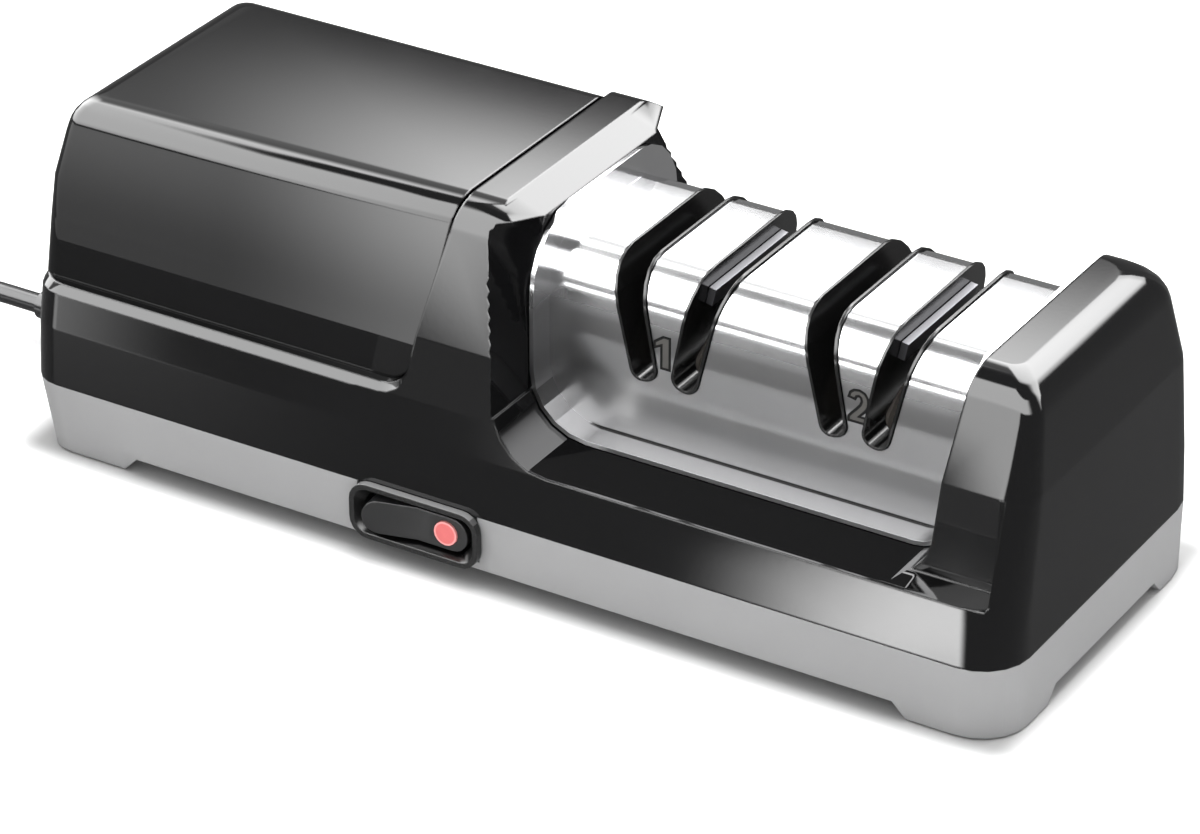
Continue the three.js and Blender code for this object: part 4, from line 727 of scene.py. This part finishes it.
lamp_red, lamp_shader, lamp_place = new_finish("salmon_lamp_lens", IOR=1.49, Emission_Strength=0.16)
lamp_cloud = grain(lamp_place, LENS_CLOUD, 3)
lens_corners = [Vector(corner) for corner in nodes["lamp_lens"].bound_box]
lens_middle = sum(lens_corners, Vector()) / len(lens_corners)
lens_radius = max(corner.z for corner in lens_corners) - lens_middle.z
lens_x, _, lens_z = parts_of(lamp_place)
lens_rim = distance(lens_x - lens_middle.x, lens_z - lens_middle.z)
lens_rim = lens_rim.step([lens_radius * share for share in LENS_RIM_SHARES])
lens_tone = lamp_cloud.tint((0.6, 0.12, 0.12, 1), (0.7, 0.16, 0.16, 1))
feed(
    lamp_shader,
    Base_Color=lens_rim.tint(lens_tone, LENS_RIM_PAINTED_HIGHLIGHT),
    Emission_Color=lamp_cloud.tint((0.62, 0.16, 0.15, 1), (0.72, 0.22, 0.2, 1)),
    Roughness=0.16 + 0.1 * lamp_cloud,
    Normal=relief(lamp_place, lamp_cloud, LENS_WAVE, LENS_EDGE),
)
dress("lamp_lens", lamp_red)

# Motor
# A can motor with a drawn steel can, a plastic end bell, two magnets, two carbon brushes and two
# sintered bronze bushes. Its rotor turns on a ground steel shaft with a moulded fan.
can_steel = metal("drawn_can_steel", (0.58, 0.59, 0.61), 0.24, (30, 1, 1))
bell_plastic = moulded(
    "black_end_bell", (0.012, 0.012, 0.013), roughness=0.4, texture_depth=0.012 * MM, edge_radius=0.3 * MM)
ferrite = moulded(
    "motor_ferrite", (0.035, 0.035, 0.037), roughness=0.55, texture_depth=0.03 * MM, edge_radius=0.2 * MM)
laminations = metal("rotor_laminations", (0.36, 0.36, 0.37), 0.3, (0.4, 20, 20))
copper = metal("commutator_copper", (0.78, 0.42, 0.26), 0.22, (30, 1, 1))
carbon = moulded(
    "pressed_carbon", (0.02, 0.02, 0.021), roughness=0.5, texture_depth=0.02 * MM, edge_radius=0.1 * MM)
bronze = metal("sintered_bronze", (0.6, 0.44, 0.24), 0.32)
ground_steel = metal("ground_shaft_steel", (0.66, 0.67, 0.69), 0.14, (30, 1, 1))
MOTOR_FINISHES = {
    "motor_can": can_steel,
    "motor_end_bell": bell_plastic,
    "motor_magnet_front": ferrite,
    "motor_magnet_rear": ferrite,
    "rotor_core": laminations,
    "commutator": copper,
    "brush_front": carbon,
    "brush_rear": carbon,
    "motor_bush_left": bronze,
    "motor_bush_right": bronze,
    "motor_shaft": ground_steel,
    "cooling_fan": bell_plastic,
}
for node, finish in MOTOR_FINISHES.items():
    dress(node, finish)

# Drive shaft
# A ground steel shaft runs in two bronze bushes, driven through a moulded coupling. Each pair of wheels
# has a collar between its springs, and each wheel is driven by a cross pin.
coupling_plastic = moulded(
    "moulded_coupling", (0.05, 0.05, 0.052), roughness=0.45, texture_depth=0.015 * MM, edge_radius=0.3 * MM)
dress("shaft_coupling", coupling_plastic)
dress("drive_shaft", ground_steel)
for bush in ("shaft_bush_middle", "shaft_bush_right"):
    dress(bush, bronze)
for stage in ("coarse", "fine"):
    dress("spring_collar_" + stage, zinc)
    for side in ("left", "right"):
        dress(f"drive_pin_{stage}_{side}", ground_steel)

# Abrasive wheels and their springs
# Each wheel is a steel hub with a bonded diamond rim, coarse in the first stage and fine in the second.
# A coil spring of piano wire presses it outwards along the shaft.
WHEEL_GRIT = {  # the grit's size and depth, and the tone of its bond
    "coarse": (0.32 * MM, 0.12 * MM, 0.15),
    "fine": (0.16 * MM, 0.05 * MM, 0.19),
}
WHEEL_TINT_SHARES = (1, 0.9, 0.8)

spring_wire = metal("spring_wire", (0.5, 0.5, 0.52), 0.18)
for stage, (grit_size, grit_depth, tone) in WHEEL_GRIT.items():
    abrasive = moulded(
        f"{stage}_abrasive", tuple(tone * share for share in WHEEL_TINT_SHARES), roughness=0.75,
        texture_depth=grit_depth, edge_radius=0.1 * MM, texture=grit_size)
    for side in ("left", "right"):
        dress(f"wheel_{stage}_{side}", abrasive)
        dress(f"wheel_spring_{stage}_{side}", spring_wire)

# Motor supply board
# A small green board on the base's floor rectifies the mains for the motor. It carries a block and a
# capacitor, both soldered to it.
board_green = moulded(
    "green_board", (0.02, 0.09, 0.035), roughness=0.35, texture_depth=0.01 * MM, edge_radius=0.1 * MM)
dress("motor_supply_board", board_green)

# Table and studio light
# The sharpener stands on a matt white table in an even white room, which gives the soft shadows, with a
# painted shadow and painted light on the table around the base.
# Its gloss mirrors another room, of dark walls with lit panels at the rear, at the front left and low down.
TABLE_HALF = 4
TABLE_WHITE = (0.93, 0.93, 0.93, 1)
# These give the painted shadow next to the base and the painted light that glows from the table beyond it
TABLE_PAINTED_SHADOW = (0.5, 0.5, 0.5, 1)
FOOTPRINT_HALF = (117 * MM, 43.5 * MM)
FOOTPRINT_MIDDLE_Y = 1.765 * MM
PAINTED_SHADOW_REACH = (0.5 * MM, 9 * MM)
NEAR_PAINTED_LIGHT, NEAR_PAINTED_LIGHT_REACH = 0.36, (1.5 * MM, 10 * MM)
FAR_PAINTED_LIGHT, FAR_PAINTED_LIGHT_REACH = 0.3, (10 * MM, 100 * MM)


def grey(level):
    """A colour with that one level in each of its channels."""
    return level.node("CombineXYZ", _0=level, _1=level, _2=level)


table_data = bpy.data.meshes.new("white_table")
table_corners = [(-1, -1), (1, -1), (1, 1), (-1, 1)]
table_data.from_pydata([(x * TABLE_HALF, y * TABLE_HALF, 0) for x, y in table_corners], [], [(0, 1, 2, 3)])
table = bpy.data.objects.new("white_table", table_data)
bpy.context.scene.collection.objects.link(table)
table_white, table_shader, table_place = new_finish(
    "table_white", Roughness=0.6, Specular_IOR_Level=0.2, Emission_Strength=1)
table_x, table_y, _ = parts_of(table_place)
past_end = (table_x.maths("ABSOLUTE") - FOOTPRINT_HALF[0]).maths("MAXIMUM", 0)
past_front = ((table_y - FOOTPRINT_MIDDLE_Y).maths("ABSOLUTE") - FOOTPRINT_HALF[1]).maths("MAXIMUM", 0)
from_base = distance(past_end, past_front)
table_painted_light = from_base.step(NEAR_PAINTED_LIGHT_REACH) * NEAR_PAINTED_LIGHT + from_base.step(FAR_PAINTED_LIGHT_REACH) * FAR_PAINTED_LIGHT
# Painted shadow darkens the table's colour next to the base, and painted light glows from it further out
feed(
    table_shader,
    Base_Color=from_base.step(PAINTED_SHADOW_REACH).tint(TABLE_PAINTED_SHADOW, TABLE_WHITE),
    Emission_Color=grey(table_painted_light),
)
table_data.materials.append(table_white)
table.visible_glossy = False

# The panels' edges are in degrees. Elevation is above the horizon, front left and rear left are angles
# round the upright axis, and about x is the angle above the rear round the sharpener's length
DEGREES = 180 / pi
ROOM_LIGHT = 0.85
ROOM_ACROSS, ROOM_LEVELS = (-0.2, 0.9), (0.95, 1.15)
DARK_WALL_LEVEL = 0.22
REAR_FOOT, REAR_TOP = (29.3, 32.2), (60, 80)
REAR_LEFT, REAR_LEFT_LEVELS, REAR_RIGHT = (31, 37.2), (1.08, 0.08), (-75, -50)
REAR_LEVEL, REAR_GAIN, REAR_GRADE = 6, 5, (32, 38)
FRONT_SLOPE, FRONT_SLOPE_START, FRONT_SLOPE_END = 0.56, 22.6, 30
FRONT_FOOT, FRONT_TOP, FRONT_LEFT = (3.4, 5.6), (58, 61), (120, 135)
FRONT_HIGH, FRONT_RIGHT_HIGH, FRONT_RIGHT_LOW = (14, 19), (-60, -30), (9, 13)
FRONT_LEVEL, FRONT_GAIN, FRONT_GRADE = 7, 2, (10, 20)
LOW_LEFT_FOOT, LOW_LEFT_TOP, LOW_LEFT_LEVEL = (-27, -11), (-11, -9), 3.6
LOW_LEFT_RIGHT, LOW_LEFT_LEFT = (32.4, 35.5), (42, 50)
BAND_CARD_FOOT, BAND_CARD_TOP = (-27.6, -26.9), (-26, -25.7)
SHOULDER_CARD_FOOT, SHOULDER_CARD_TOP = (-15.5, -14), (-11, -10)
LOW_CARD_LEFT, LOW_CARD_RIGHT, LOW_CARD_LEVEL = (25.4, 28.6), (2, 22), 14

world = bpy.data.worlds.new("studio")
bpy.context.scene.world = world
world.use_nodes = True
background = world.node_tree.nodes["Background"]
background.inputs["Color"].default_value = (1, 1, 1, 1)
sky = Wire(world.node_tree)
ray_x, ray_y, ray_z = parts_of(sky.node("TexCoord", output=0))
elevation = ray_z.maths("ARCSINE") * DEGREES
rear_left = (0 - ray_x).maths("ARCTAN2", ray_y) * DEGREES
about_x = ray_z.maths("ARCTAN2", ray_y) * DEGREES
front_left = (0 - ray_x).maths("ARCTAN2", 0 - ray_y) * DEGREES
# The rear panel stands behind the table, with a soft lower edge and a soft left edge
rear_panel = (
    about_x.step(REAR_FOOT) * about_x.fall(REAR_TOP) * rear_left.step(REAR_LEFT, *REAR_LEFT_LEVELS)
    * rear_left.step(REAR_RIGHT) * (REAR_LEVEL + about_x.step(REAR_GRADE) * REAR_GAIN)
)
# The front panel hangs at the front left, its lower edge rising to the left
above_foot = elevation - FRONT_SLOPE * (front_left.maths("MINIMUM", FRONT_SLOPE_END) - FRONT_SLOPE_START)
high_part = elevation.step(FRONT_HIGH)
low_right_edge = (1 - high_part) * front_left.step(FRONT_RIGHT_LOW)
right_edge = high_part * front_left.step(FRONT_RIGHT_HIGH) + low_right_edge
front_panel = above_foot.step(FRONT_FOOT) * elevation.fall(FRONT_TOP) * front_left.fall(FRONT_LEFT)
front_panel = front_panel * right_edge * (FRONT_LEVEL + elevation.step(FRONT_GRADE) * FRONT_GAIN)
# Low cards give the band its light patches, and the hood's shoulder its white line
low_left = elevation.step(LOW_LEFT_FOOT) * elevation.fall(LOW_LEFT_TOP)
low_left = low_left * front_left.step(LOW_LEFT_RIGHT) * front_left.fall(LOW_LEFT_LEFT) * LOW_LEFT_LEVEL
band_card = elevation.step(BAND_CARD_FOOT) * elevation.fall(BAND_CARD_TOP)
shoulder_card = elevation.step(SHOULDER_CARD_FOOT) * elevation.fall(SHOULDER_CARD_TOP)
low_cards = (band_card + shoulder_card) * front_left.fall(LOW_CARD_LEFT) * front_left.step(LOW_CARD_RIGHT)
panels = rear_panel + front_panel + low_left + low_cards * LOW_CARD_LEVEL + DARK_WALL_LEVEL
in_gloss = sky.node("LightPath", output=3)
room = ray_x.step(ROOM_ACROSS, *ROOM_LEVELS) * ROOM_LIGHT
feed(background, Strength=in_gloss * panels + (1 - in_gloss) * room)

# Two cards stand close in front. The sheen card gives the motor cover's front face its own sheen, and
# the grey card keeps the light that bounces off the pocket's floor from the hood's face
SHEEN_CARD_Y = -44.5 * MM
SHEEN_CARD_X = (-150 * MM, -24 * MM)
SHEEN_CARD_Z = (46.8 * MM, 76 * MM)
SHEEN_ALONG, SHEEN_ALONG_GAIN = (-81 * MM, -11 * MM), 2.8
SHEEN_UP, SHEEN_FOOT_LEVEL, SHEEN_UP_GAIN = (50 * MM, 75 * MM), 0.9, 1.2
GREY_CARD_Y = -50 * MM
GREY_CARD_X = (-40 * MM, 108 * MM)
GREY_CARD_Z = (37 * MM, 51 * MM)
GREY_CARD_LEVEL, GREY_CARD_GAIN = 0.4, 0.5  # the gain is for each metre to the right


def studio_card(name, y, x_span, z_span, level):
    """An upright glowing card that only reflections see. The level takes its x and z as Wires."""
    data = bpy.data.meshes.new(name)
    corners = [(x_span[0], z_span[0]), (x_span[1], z_span[0]), (x_span[1], z_span[1]), (x_span[0], z_span[1])]
    data.from_pydata([(x, y, z) for x, z in corners], [], [(0, 1, 2, 3)])
    card = bpy.data.objects.new(name, data)
    bpy.context.scene.collection.objects.link(card)
    glow, shader, place = new_finish(name + "_glow", Roughness=1, Specular_IOR_Level=0, Emission_Strength=1)
    shader.inputs["Base Color"].default_value = (0, 0, 0, 1)
    x, _, z = parts_of(place)
    feed(shader, Emission_Color=grey(level(x, z)))
    data.materials.append(glow)
    for ray in ("camera", "diffuse", "transmission", "volume_scatter", "shadow"):
        setattr(card, "visible_" + ray, False)


def sheen_level(x, z):
    along = 1 + x.step(SHEEN_ALONG) * SHEEN_ALONG_GAIN
    return along * (SHEEN_FOOT_LEVEL + z.step(SHEEN_UP) * SHEEN_UP_GAIN)


def grey_level(x, z):
    return GREY_CARD_LEVEL + x * GREY_CARD_GAIN


studio_card("sheen_card", SHEEN_CARD_Y, SHEEN_CARD_X, SHEEN_CARD_Z, sheen_level)
studio_card("grey_card", GREY_CARD_Y, GREY_CARD_X, GREY_CARD_Z, grey_level)

# One wide soft lamp above the rear of the table throws the shadow a little to the front
OVERHEAD_PLACE = (0.1, 0.2, 1.6)
OVERHEAD_BREADTH = 0.7
OVERHEAD_POWER = 18

overhead_data = bpy.data.lights.new("overhead_light", "AREA")
overhead_data.shape = "DISK"
overhead_data.size = OVERHEAD_BREADTH
overhead_data.energy = OVERHEAD_POWER
overhead_light = bpy.data.objects.new("overhead_light", overhead_data)
overhead_light.location = OVERHEAD_PLACE
overhead_light.rotation_euler = (-Vector(OVERHEAD_PLACE)).to_track_quat("-Z", "Y").to_euler()
overhead_light.visible_glossy = False
bpy.context.scene.collection.objects.link(overhead_light)

bpy.context.scene.view_settings.view_transform = "Standard"
